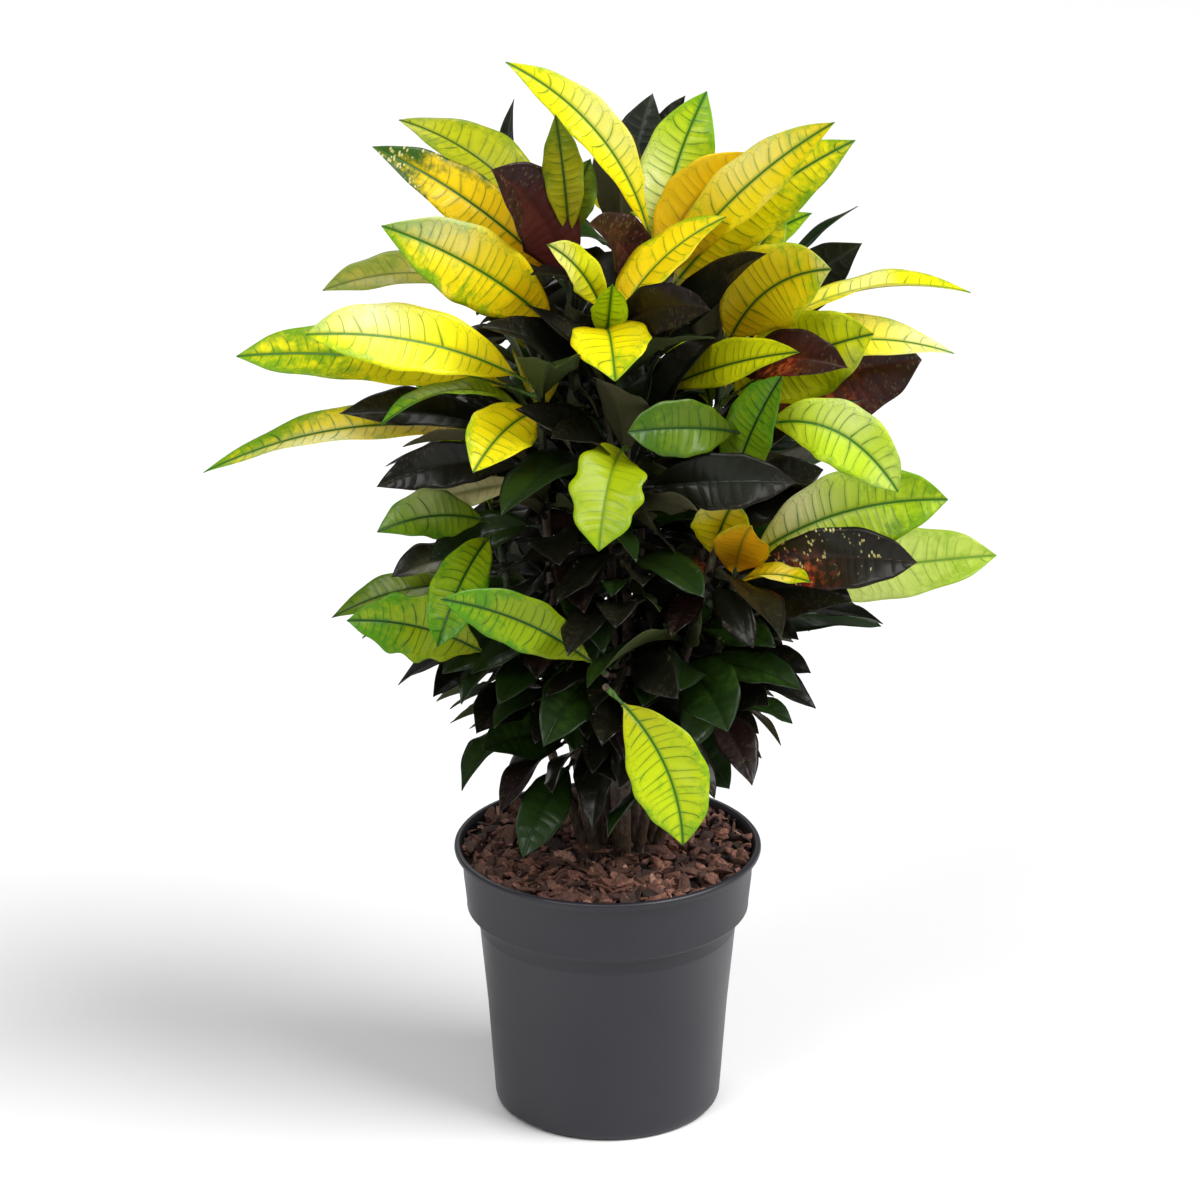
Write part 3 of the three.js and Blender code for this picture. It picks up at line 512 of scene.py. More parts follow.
def rule_leaf(name, seed, z, azimuth, climb, length, tone):
    """The leaf that the golden angle gives, if the CAD has it."""
    foot, node = foot_at(name, z)
    rise = math.radians(climb + (draw(seed + 0.1) - 0.5) * UNEVEN["climb"])
    out = heading(azimuth, rise)
    reach = length * (1 + (draw(seed + 0.2) - 0.5) * UNEVEN["length"])
    while reach > SHORTEST_LEAF and not inside_crown(foot + out * reach):
        reach *= 0.95
    tip = placed_tip(node, foot, foot + out * reach)
    if tip is None:
        return []
    if tone in SHOOT_TONES and tip[1] < BRIGHT_BEHIND:
        tone = pick(FRONT_TONES, seed)
    tone = OWN_TONES.get(seed, tone)
    roll = (draw(seed + 0.4) - 0.5) * UNEVEN["roll"]
    return [make_leaf(seed, node, foot, tip, None, reach * LEAF_SHAPE[0], reach * LEAF_SHAPE[1], roll, tone)]


def all_leaves():
    """Every leaf that the CAD has."""
    leaves = []
    for number, (name, z, *tip, look, width, arch, tone) in enumerate(LEAVES, 1):
        foot, node = foot_at(name, z)
        tip = placed_tip(node, foot, np.array(tip, float))
        if tip is not None:
            leaves.append(make_leaf(number, node, foot, tip, look, width, arch, 0, tone))
    for index, (name, _, top, _, cut) in enumerate(STEMS):
        start = draw(index + 0.7) * 360
        seed = STEM_SEEDS * (index + 1)
        parts = (
            (SHOOT_RULE, SHOOT_TONES, top[2] - BARE_TIP, cut + BARE_END, cut),
            (WOOD_RULE, WOOD_TONES, cut - BARE_END, LEAF_FROM, LEAF_FROM),
        )
        for rule, tones, z, end, low in parts:
            while z > end:
                seed += 1
                share = (z - low) / (top[2] - low)
                climb, length = (rule[key][0] + rule[key][1] * share for key in ("climb", "length"))
                azimuth = math.radians(start + seed * GOLDEN_ANGLE)
                leaves += rule_leaf(name, seed, z, azimuth, climb, length, pick(tones, seed))
                z -= rule["step"]
    return leaves


def stem_lines():
    """Each stem's line and radius at every millimetre of its height."""
    lines = []
    for stem in STEMS:
        z = np.arange(STEM_FOOT, stem[2][2])
        lines.append((np.array([stem_point(stem, h) for h in z]), np.array([stem_radius(stem, h) for h in z])))
    return lines


def crosses_stem(points, lines, own):
    for number, (line, radius) in enumerate(lines):
        if number != own:
            row = np.clip((points[:, 2] - STEM_FOOT).astype(int), 0, len(line) - 1)
            if (np.linalg.norm(points - line[row], axis=1) < radius[row] + STEM_ROOM).any():
                return True
    return False


def covers(points, main):
    """Whether a leaf would lie in front of one of the main leaves, seen from the plant's best side."""
    away = Vector(BEST_VIEW)
    return any(tree.ray_cast(tuple(point), away)[0] is not None for point in points[::3] for tree in main)


def inner_leaf(seed, name, z):
    """A leaf that might grow from this height of a stem, or None where it would be out of place."""
    share = (z - INNER["from"]) / INNER["climb_over"]
    climb = INNER["climb"][0] + INNER["climb"][1] * share + INNER["uneven"] * (draw(seed + 0.1) - 0.5)
    reach = INNER["length"][0] + INNER["length"][1] * draw(seed + 0.2)
    foot, node = foot_at(name, z)
    tip = foot + heading(math.radians(seed * GOLDEN_ANGLE), math.radians(climb)) * reach
    at_cut = abs(z - STEM_NAMED[name][4]) < BARE_END
    if at_cut or tip[2] < INNER["lowest"] or not inside_crown(tip, INNER_CROWN):
        return None
    width, arch = reach * INNER["shape"][0], reach * INNER["shape"][1]
    roll = (draw(seed + 0.4) - 0.5) * INNER["roll"]
    return make_leaf(seed, node, foot, tip, None, width, arch, roll, pick(INNER_TONES, seed))


def inner_leaves(leaves):
    """Leaves of the plant's middle: each is left out where it would meet or cover another leaf or a stem."""
    rows, columns = BLADES[2]
    quads = [tuple(int(v) for v in quad) for quad in grid(rows, columns)]

    def shape(leaf):
        points = blade_surface(leaf, rows, columns)[0].reshape(-1, 3)
        return points, (BVHTree.FromPolygons([tuple(p) for p in points], quads), points.min(0), points.max(0))

    trees, added, lines = [shape(leaf)[1] for leaf in leaves], [], stem_lines()
    bright = [leaf["seed"] < STEM_SEEDS and leaf["tone"] not in INNER_TONES for leaf in leaves]
    main = [tree for (tree, _, _), is_bright in zip(trees, bright) if is_bright]
    for index, (name, _, top, *_) in enumerate(STEMS):
        seed = INNER_SEEDS + STEM_SEEDS * index
        high_end = min(top[2] - INNER["below_top"], INNER["to"])
        for z in np.arange(INNER["from"] + 4 * draw(seed), high_end, INNER["step"]):
            for _ in range(INNER["tries"]):
                seed += 1
                leaf = inner_leaf(seed, name, z)
                if leaf is None:
                    continue
                points, (own, low, high) = shape(leaf)
                near = [tree for tree, a, b in trees if (a < high).all() and (b > low).all()]
                if crosses_stem(points, lines, index) or any(own.overlap(other) for other in near):
                    continue
                if not covers(points, main):
                    trees.append((own, low, high))
                    added.append(leaf)
                    break
    return added


# Leaves


def leaf_outline(s, leaf):
    """Half width at a share of the blade's length: full sides, drawn out to a point."""
    shape = BROAD_OUTLINE if leaf["seed"] in BROAD else OUTLINE
    last = shape["last"]
    body = np.sin(np.pi * np.clip(s, 0, last) ** shape["lean"]) ** shape["round"]
    point = 1 - np.clip((s - last) / (1 - last), 0, 1) ** 1.25
    turns = 2 * math.pi * (LOBE_COUNT * s + draw(leaf["seed"] * 3 + 0.8))
    half = body * point * leaf["width"] / 2 * (1 + LOBES.get(leaf["seed"], PLAIN_LOBE) * np.sin(turns))
    return np.maximum(half, PETIOLE_HALF * (1 - np.clip(s, 0, 1)) + 0.25)


def midrib(leaf, t):
    """Points, directions and upward normals along the midrib."""
    t = t[:, None]
    foot, tip, control = leaf["foot"], leaf["tip"], leaf["control"]
    point = foot * (1 - t) ** 2 + control * 2 * t * (1 - t) + tip * t * t
    along = unit((control - foot) * (1 - t) + (tip - control) * t)
    normal = unit(leaf["look"] - along * np.sum(along * leaf["look"], 1, keepdims=True))
    return point, along, normal


def vein_phase(leaf, s, u, across):
    """Counts the side veins: a whole number and a half lies on a vein."""
    seed = leaf["seed"]
    pitch = TONES[leaf["tone"]][5][0]
    side = np.where(u < 0, draw(seed + 0.31), 0.5)
    count = s / pitch
    uneven = 0.30 * np.sin(count * 1.1 + 9 * draw(seed + 0.37)) + 0.10 * np.sin(count * 3.1 + side * 7)
    bend = across * 0.22 / pitch + 0.6 * np.abs(u) ** 4
    return count + uneven - bend + side + 20


def blade_surface(leaf, rows, columns):
    """The upper side as a grid of points, with what the underside and the colours need."""
    seed = leaf["seed"]
    t = PETIOLE * 0.9 + (1 - PETIOLE * 0.9) * np.linspace(0, 1, rows)
    x = np.linspace(-1, 1, columns)
    u = np.sign(x) * np.abs(x) ** 1.25
    point, along, normal = midrib(leaf, t)
    side = np.cross(along, normal)
    s = (t - PETIOLE) / (1 - PETIOLE)
    half = leaf_outline(s, leaf)[:, None]
    across = np.abs(u)[None, :] * half
    length = np.clip(s, 0, 1)[:, None] * leaf["length"] * (1 - PETIOLE)
    phase = vein_phase(leaf, length, u[None, :], across)
    fill = half * 2 / leaf["width"]
    ripple = []
    for offset in (0.25, 0.5):
        wave = WAVE * np.sin(2 * math.pi * (1.5 * t + draw(seed * 3 + offset)))
        fine = RUFFLE * np.sin(2 * math.pi * (4.5 * t + draw(seed * 3 + offset + 0.1)))
        ripple.append(wave[:, None] * np.abs(u) ** 1.3 + fine[:, None] * np.abs(u) ** 2.5)
    ripple = np.where(u[None, :] < 0, ripple[0], ripple[1]) * fill
    raised = across * math.sin(FOLD) + ripple
    pillow = PILLOW * np.sin(math.pi * phase) ** 2 * np.sin(math.pi * np.abs(u) ** 0.8)[None, :]
    groove = -GROOVE * np.exp(-((across / 1.5) ** 2)) * (1 - s[:, None] * 0.7)
    height = raised + pillow * np.minimum(fill, 1) + groove
    spread = u[None, :] * half * math.cos(FOLD)
    top = point[:, None] + side[:, None] * spread[..., None] + normal[:, None] * height[..., None]
    return top, normal, s, u, across, length, phase


def patch(table, seed, s, u):
    """How strongly a table's patch colours each point of a leaf."""
    middle, way, strength = table.get(seed, NO_PATCH)
    beside = 0.5 + 0.5 * np.tanh(3 * way * u) if way else 1.0 + 0 * u
    return strength * np.exp(-(((s - middle) / PATCH_LENGTH) ** 2))[:, None] * beside


def stacked(*values):
    """A row for each point of a grid."""
    values = np.broadcast_arrays(*values)
    return np.stack(values, -1).reshape(-1, len(values))


def add_blade(piece, leaf, rows, columns):
    seed = leaf["seed"]
    top, normal, s, u, across, length, phase = blade_surface(leaf, rows, columns)
    rib = RIB * np.exp(-((across / 1.3) ** 2)) * (1.05 - np.clip(s, 0, 1)[:, None])
    thick = THICKNESS["margin"] + THICKNESS["more_inside"] * np.sqrt(1 - np.abs(u))[None, :]
    low = top - normal[:, None] * (thick + rib)[..., None]
    count = rows * columns
    quads = grid(rows, columns)
    edge = lambda line: np.stack([line[:-1], line[1:], line[1:] + count, line[:-1] + count], 1)
    left, right = np.arange(rows) * columns, np.arange(rows) * columns + columns - 1
    start, end = np.arange(columns), np.arange(columns) + (rows - 1) * columns
    rims = np.concatenate([edge(left), edge(right)[:, ::-1], edge(start)[:, ::-1], edge(end)])
    faces = [(quads, True), (quads[:, ::-1] + count, True), (rims, False)]
    base, margin, vein, amount, spots, strength = TONES[leaf["tone"]]
    warm = 1 + 0.16 * (draw(seed + 0.53) - 0.5)
    deep = 0.65 + 1.1 * draw(seed + 0.61) if max(base) < 0.05 else 1.0
    base = (base[0] * warm * deep, base[1] / warm * deep, base[2] * deep)
    # Painted sheen (pale patches standing in for highlights) beside the red flushes of the leaf's own colour,
    # at each point
    sheen_and_red = stacked(patch(PAINTED_SHEENS, seed, s, u), patch(REDS, seed, s, u), 0.0, 0.0)
    place = stacked(phase, np.abs(u)[None, :], s[:, None], 0.0)
    under = place.copy()
    under[:, 3] = 1
    flat = stacked(across * np.sign(u), length) / 100
    piece.add(
        np.concatenate([top.reshape(-1, 3), low.reshape(-1, 3)]), faces, 0, np.concatenate([flat, flat]),
        leaf_place=np.concatenate([place, under]), leaf_base=(*base, amount), leaf_edge=(*margin, spots),
        leaf_vein=(*vein, sum(strength)), leaf_wash=np.concatenate([sheen_and_red, sheen_and_red]),
    )


def add_petiole(piece, leaf):
    t = np.linspace(0, PETIOLE * 1.25, 9)
    point, _, normal = midrib(leaf, t)
    share = t / t[-1]
    swelling = STALK["swollen"] * np.exp(-((t * leaf["length"] - 4) / 3.5) ** 2)
    radius = STALK["radius"] - STALK["slimmer"] * share + swelling
    points, faces = tube(point - normal * (0.9 * share)[:, None], radius, 8, normal)
    _, margin, vein, *_ = TONES[leaf["tone"]]
    stalk = tuple(0.6 * v + 0.15 * b for v, b in zip(vein, margin))
    piece.add(points, faces, 1, leaf_base=(*stalk, 0))


def add_wood(piece, line, radii, heights, young):
    """A stem's wood, thicker at each leaf's foot, with the scars of old leaves."""
    line, radii = np.asarray(line), np.asarray(radii)
    z = line[:, 2:3]
    angle = ring_angles(STEM_SIDES)
    joints = np.array(sorted(heights) or [0.0])
    nearest = np.abs(z - joints[None, :]).min(1)[:, None]
    scars = SCAR * np.maximum(0, np.sin(z / 2.2 + 1.2 * np.sin(angle + z / 9))) ** 4
    grown = radii[:, None] * (1 + 0.05 * np.sin(angle * 3 + z / 23))
    grown = grown + JOINT * np.exp(-((nearest / 3) ** 2)) + scars
    points, faces = tube(line, grown, STEM_SIDES)
    colour = np.concatenate([np.repeat(young, STEM_SIDES, 0), np.zeros((len(points), 1))], 1)
    piece.add(points, faces, 1, leaf_base=colour)


# Materials


def operator(operation, swapped=False):
    def apply(value, other=0.0):
        a, b = (other, value) if swapped else (value, other)
        return value.nodes.math(operation, a, b)

    return apply


class Value:
    """What a node gives at each point of a surface. Arithmetic on it adds Math nodes."""

    def __init__(self, nodes, socket):
        self.nodes, self.socket = nodes, socket

    __add__, __sub__, __mul__ = operator("ADD"), operator("SUBTRACT"), operator("MULTIPLY")
    __rsub__, __abs__ = operator("SUBTRACT", True), operator("ABSOLUTE")

    def clamped(self):
        self.socket.node.use_clamp = True
        return self


class Nodes:
    """A short way to write a material's nodes."""

    def __init__(self, name):
        self.material = bpy.data.materials.new(name)
        self.material.use_nodes = True
        self.tree = self.material.node_tree
        self.tree.nodes.clear()
        self.where = self.add("TexCoord", "Object")

    def add(self, kind, out=0, settings=None, **inputs):
        """Adds a node and gives one of its outputs. i0 and so on name an input by its place."""
        made = self.tree.nodes.new("ShaderNode" + kind)
        for key, value in (settings or {}).items():
            setattr(made, key, value)
        for key, value in inputs.items():
            socket = made.inputs[int(key[1:]) if key[0] == "i" and key[1:].isdigit() else key.replace("_", " ")]
            if isinstance(value, Value):
                self.tree.links.new(value.socket, socket)
            else:
                socket.default_value = value
        return Value(self, made.outputs[out]) if made.outputs else None

    def math(self, operation, a, b=0):
        return self.add("Math", 0, {"operation": operation}, i0=a, i1=b)

    def most(self, a, b):
        return self.math("MAXIMUM", a, b)

    def step(self, value, low, high, start=0, end=1):
        """A smooth rise from start to end as value goes from low to high."""
        settings = {"interpolation_type": "SMOOTHSTEP"}
        ends = {"From_Min": low, "From_Max": high, "To_Min": start, "To_Max": end}
        return self.add("MapRange", 0, settings, Value=value, **ends)

    def mix(self, share, a, b, blend="MIX"):
        return self.add("Mix", 2, {"data_type": "RGBA", "blend_type": blend}, i0=share, i6=a, i7=b)

    def noise(self, scale, detail=3, roughness=0.55, stretch=None):
        where = self.add("Mapping", Vector=self.where, Scale=stretch) if stretch else self.where
        return self.add("TexNoise", Vector=where, Scale=scale, Detail=detail, Roughness=roughness)

    def outputs(self, value):
        return [Value(self, socket) for socket in value.socket.node.outputs]

    def attribute(self, name):
        """A colour and its fourth number."""
        colour, _, _, fourth = self.outputs(self.add("Attribute", 0, {"attribute_name": name}))
        return colour, fourth

    def split(self, vector):
        return self.outputs(self.add("SeparateXYZ", Vector=vector))

    def bump(self, height, strength, distance):
        return self.add("Bump", Height=height, Strength=strength, Distance=distance)

    def finish(self, shader):
        self.add("OutputMaterial", Surface=shader)
        return self.material

    def plain(self, colour, roughness, **more):
        return self.finish(self.add("BsdfPrincipled", Base_Color=colour, Roughness=roughness, **more))


def leaf_material():
    n = Nodes("croton leaf")
    place, under = n.attribute("leaf_place")
    base, amount = n.attribute("leaf_base")
    margin, spots = n.attribute("leaf_edge")
    vein, coded = n.attribute("leaf_vein")
    painted_sheen, flush, _ = n.split(n.attribute("leaf_wash")[0])
    pitch, strength = n.math("FLOOR", coded), n.math("FRACT", coded)
    phase, edge, along = n.split(place)
    offset, length, _ = n.split(n.add("TexCoord", "UV"))
    across = abs(offset)
    broad, cloud, fine = n.noise(17, 2), n.noise(48), n.noise(170)

    # The blade is warmer at its base, and green spreads from its tip and margin in uneven patches. Pale painted
    # sheen and red flushes lie over it.
    warm = n.mix(1, base, (1.03, 0.87, 0.9, 1), "MULTIPLY")
    base = n.mix(n.step(along + cloud * 0.3, 0.1, 0.6), warm, base)
    reach = n.math("POWER", edge, 3) * 0.34 + along * 0.8
    reach = reach + (broad - 0.5) + (cloud - 0.5) + (fine - 0.5) * 0.9
    green = n.step(reach + amount, 0.66, 1.2)
    colour = n.mix(green, base, margin)
    # Painted sheen: pale cream patches, at random on bright leaves and where the table lists them, stand in for
    # glossy highlights
    light = n.add("SeparateColor", "Green", Color=base)
    sheen_patches = n.step(n.noise(13, 1), 0.56, 0.72, 0, 0.4) * n.step(light, 0.5, 0.75)
    painted_sheen = painted_sheen * n.step(cloud + fine * 0.6, 0.5, 0.95, 0.55, 1.1)
    colour = n.mix(n.most(sheen_patches, painted_sheen).clamped(), colour, (0.95, 0.94, 0.52, 1))
    flush = (flush * n.step(cloud + fine, 0.85, 1.15, 0.15, 1)).clamped()
    red = n.mix(n.step(fine, 0.45, 0.6), (0.3, 0.02, 0.01, 1), (0.62, 0.12, 0.03, 1))
    colour = n.mix(flush, colour, red)

    # Side veins, the loops that join them near the margin, the midrib, and a fine net
    part, number = n.math("FRACT", phase), n.math("FLOOR", phase)
    off = abs(part - 0.5) * pitch
    side = n.step(n.math("DIVIDE", off, edge * -0.22 + 0.6), 0.35, 1.1, 0.9, 0)
    chance = n.add("TexWhiteNoise", 0, {"noise_dimensions": "1D"}, W=number)
    side = side * n.step(edge + chance * 0.26, 0.74, 0.94, 1, 0) * n.step(chance, 0, 1, 1, 0.62)
    halo = n.step(off, 0.2, 2.2, 0.2, 0) * n.step(edge, 0.6, 0.95, 1, 0)
    bow = n.math("COSINE", part * (2 * math.pi)) * 0.085
    loop = n.step(abs(edge - (bow + 0.8)), 0.004, 0.022, 0.5, 0)
    rib = n.step(across, 0.006, 0.0135, 1, 0)
    glow = n.step(across, 0.008, 0.035, 0.35, 0)
    flat = n.add("CombineXYZ", X=offset, Y=length, Z=number)
    net = n.add("TexVoronoi", "Distance", {"feature": "DISTANCE_TO_EDGE"}, Vector=flat, Scale=48)
    net = n.step(net, 0, 0.1, 0.22, 0) * n.step(edge, 0.2, 0.8)
    patchy = n.step(fine, 0.25, 0.6, 0.75, 1.1) + (cloud - 0.5) * 0.8
    lines = (n.most(n.most(side, loop), n.most(halo, net)) * strength * patchy).clamped()
    middle = n.most(rib, glow) * strength * n.step(under, 0, 1, 1.15, 0.6)
    lines = n.most(lines * n.step(under, 0, 1, 1, 0.45), middle).clamped()
    colour = n.mix(lines, colour, vein)

    # Small cream and red spots on some leaves, crowded along the upper margin and the base
    few = 1 - spots
    cells = n.add("TexVoronoi", "Distance", Vector=n.add("CombineXYZ", X=offset * 0.55, Y=length), Scale=38)
    dots = n.step(cells + fine * 0.2, 0.34, 0.46, 1, 0)
    crowd = n.noise(60, 2, 0.5) + (0.45 - along) * 0.22 + n.math("GREATER_THAN", 0, offset) * 0.08
    crowd = n.step(crowd + (green - 0.45) * (few * 6), 0.555, 0.62)
    cream = n.step(n.noise(60, 1) + few * 4 + along * 0.22, 0.52, 0.62)
    hue = n.mix(cream, (0.48, 0.09, 0.05, 1), (0.72, 0.66, 0.26, 1))
    colour = n.mix((dots * crowd * spots).clamped(), colour, hue)
    colour = n.mix(under, colour, n.mix(0.1, colour, (0.45, 0.42, 0.2, 1)))

    quilt = n.math("POWER", abs(n.math("SINE", phase * math.pi)), 0.7) * n.step(edge, 0.75, 1, 1, 0)
    bump = n.bump(quilt * 0.9 + rib * -0.8 + fine * 0.35, 0.28, 0.0006)
    gloss = fine * 0.2 + n.step(under, 0, 1, 0.34, 0.45)
    level = n.add("SeparateColor", "Green", Color=colour)
    shine = n.step(level, 0, 0.5, 0.12, 0.18)
    wax = n.step(level, 0, 0.4, 0.2, 0.24) * n.step(under, 0, 1, 1, 0.25)
    skin = n.add(
        "BsdfPrincipled", Base_Color=colour, Roughness=gloss, Normal=bump, Specular_IOR_Level=shine,
        Coat_Weight=wax, Coat_Roughness=0.2, Coat_Normal=bump,
    )
    through = n.add("BsdfTranslucent", Color=colour, Normal=bump)
    share = n.math("MINIMUM", (level * 0.75).clamped(), 0.36)
    return n.finish(n.add("MixShader", Fac=share, i1=skin, i2=through))


def wood_material():
    n = Nodes("croton wood")
    young, _ = n.attribute("leaf_base")
    grain = n.noise(420, 5, 0.65, (1, 1, 0.22))
    dark = n.mix(n.step(grain, 0.35, 0.7), (0.35, 0.33, 0.31, 1), (1.25, 1.2, 1.15, 1))
    colour = n.mix(1, young, dark, "MULTIPLY")
    colour = n.mix(n.step(n.noise(90, 2), 0.52, 0.75, 0, 0.35), colour, (0.16, 0.15, 0.12, 1))
    return n.plain(colour, 0.62, Normal=n.bump(grain, 0.6, 0.0008))


def bark_material():
    n = Nodes("bark chips")
    chip, _ = n.attribute("leaf_base")
    fibre = n.noise(520, 5, 0.7, (1, 0.35, 1))
    dark = n.mix(n.step(fibre, 0.3, 0.75), (0.45, 0.42, 0.4, 1), (1.5, 1.45, 1.4, 1))
    return n.plain(n.mix(1, chip, dark, "MULTIPLY"), 0.85, Normal=n.bump(fibre, 0.9, 0.0012))


def soil_material():
    n = Nodes("potting soil")
    crumbs = n.noise(380, 6, 0.7)
    colour = n.mix(n.step(crumbs, 0.35, 0.7), (0.01, 0.006, 0.004, 1), (0.055, 0.032, 0.02, 1))
    return n.plain(colour, 0.95, Normal=n.bump(crumbs, 1, 0.002))


def pot_material():
    n = Nodes("anthracite plastic")
    cloud = n.noise(14, 2)
    grain = n.noise(900, 2)
    rings = n.noise(260, 2, stretch=(0.05, 0.05, 1))
    colour = n.mix(n.step(cloud, 0.3, 0.7), (0.0152, 0.0143, 0.0204, 1), (0.0187, 0.0177, 0.0244, 1))
    gloss = n.step(cloud, 0.3, 0.7, 0.38, 0.46)
    bump = n.bump(grain * 0.4 + rings * 0.6, 0.25, 0.0003)
    return n.plain(colour, gloss, Specular_IOR_Level=0.42, Normal=bump)


def floor_material():
    n = Nodes("pale floor")
    colour = n.mix(n.noise(3, 2), (0.725, 0.725, 0.73, 1), (0.74, 0.74, 0.74, 1))
    return n.plain(colour, 0.9, Specular_IOR_Level=0.1)


# Pot


def pot_profile():
    """Outside from the foot up to the lip, and inside down to the floor: [radius, height]."""
    base, collar, rim, top = BASE_RADIUS, COLLAR_RADIUS, RIM_RADIUS, POT_HEIGHT
    body, step, foot = BODY_RADIUS, BODY_TOP, COLLAR_FOOT
    outside = [
        (base - 1, 0), (base, 0.3), (base + 2.2, 1.2), (base + 3.6, 3), (base + 4.6, 6.5), (base + 5, 12),
        (base + 10, 84), (base + 16.1, 149), (base + 16.5, 149.8), (base + 16.4, 150.8), (body, step),
        (body + 0.5, step + 2.2), (body + 2, step + 3.8), (collar - 2.4, foot - 1.5),
        (collar - 0.5, foot - 1.0), (collar + 0.35, foot), (collar + 0.5, foot + 1.0),
        (collar + 0.3, foot + 2.2), (rim - 7.2, top - 26), (rim - 6.3, top - 10), (rim - 5.7, top - 7),
        (rim - 4.2, top - 5.6), (rim - 1.4, top - 5.2), (rim - 0.3, top - 4.4), (rim, top - 3),
        (rim - 0.2, top - 1.5), (rim - 1.0, top - 0.4), (rim - 2.4, top),
    ]
    inside = [
        (rim - 4.0, top - 0.2), (rim - 5.0, top - 1.4), (rim - 6.0, top - 3.4), (rim - 7.2, top - 7),
        (rim - 8.6, top - 22), (collar - WALL, foot + 0.7), (body - WALL, step + 1.4),
        (base + 10 - WALL, 84), (base + 5 - WALL, 12), (base - 3, FLOOR),
    ]
    return outside, inside


def inner_radius(z):
    """The radius of the pot's inner wall at a height."""
    _, inside = pot_profile()
    radii, heights = zip(*reversed(inside))
    return float(np.interp(z, heights, radii))


def cutter(points, faces):
    mesh = bpy.data.meshes.new("cutter")
    mesh.from_pydata([tuple(p * MM for p in point) for point in points], [], faces)
    return placed("cutter", mesh)


def cut_box(degrees):
    near, far, side = BASE_RADIUS - NOTCH["depth"], BASE_RADIUS + 30, NOTCH["width"] / 2
    ring = [(near, -side), (far, -side), (far, side), (near, side)]
    points = [(x, y, z) for z in (-5, NOTCH["height"]) for x, y in ring]
    faces = [(3, 2, 1, 0), (4, 5, 6, 7), *grid(2, len(ring), True).tolist()]
    return cutter(points @ rotation(2, math.radians(degrees)).T, faces)


def cut_drain(index):
    angle = math.radians(DRAIN["first"] + index * 360 / DRAIN["count"])
    x, y = DRAIN["ring"] * math.cos(angle), DRAIN["ring"] * math.sin(angle)
    points, faces = tube([(x, y, -1), (x, y, FLOOR + 1)], [DRAIN["radius"]] * 2, DRAIN["sides"])
    return cutter(points, [tuple(face) for corners, _ in faces for face in corners.tolist()])


def make_pot(material):
    outside, inside = pot_profile()
    profile = outside + inside
    piece = Piece("nursery_pot", "pot", "pot_plastic", [material])
    angle = ring_angles(POT_SIDES)
    ring = np.stack([np.cos(angle), np.sin(angle), angle * 0], 1)
    points = np.concatenate([ring * r + (0, 0, z) for r, z in profile] + [[(0, 0, 0), (0, 0, FLOOR)]])
    piece.add(points, turned_faces(len(profile), POT_SIDES))
    made = piece.finish()
    tools = [cut_box(degrees) for degrees in NOTCH["angles"]] + [cut_drain(i) for i in range(DRAIN["count"])]
    for tool in tools:
        modifier = made.modifiers.new("cut", "BOOLEAN")
        modifier.operation, modifier.solver, modifier.object = "DIFFERENCE", "EXACT", tool
    ready = made.evaluated_get(bpy.context.evaluated_depsgraph_get())
    cut = bpy.data.meshes.new_from_object(ready)
    made.modifiers.clear()
    made.data = cut
    for tool in tools:
        bpy.data.objects.remove(tool)
    cut.set_sharp_from_angle(angle=math.radians(40))


# Bark chips


def chip_shapes(random):
    """Rough chips of unit size: a ball of facets cut flat by some planes and made uneven."""
    ball = bmesh.new()
    bmesh.ops.create_icosphere(ball, subdivisions=2, radius=1)
    ball.verts.index_update()
    start = np.array([v.co[:] for v in ball.verts])
    faces = np.array([[v.index for v in face.verts] for face in ball.faces])
    ball.free()
    shapes = []
    for _ in range(CHIP_KINDS):
        points = start * random.uniform(0.86, 1.06, (len(start), 1))
        for _ in range(CHIP_CUTS):
            normal = unit(random.normal(size=3))
            reach = random.uniform(0.45, 0.8)
            over = np.maximum(points @ normal - reach, 0)
            points = points - over[:, None] * normal * 0.92
        shapes.append(points + random.normal(0, 0.035, points.shape))
    return shapes, faces


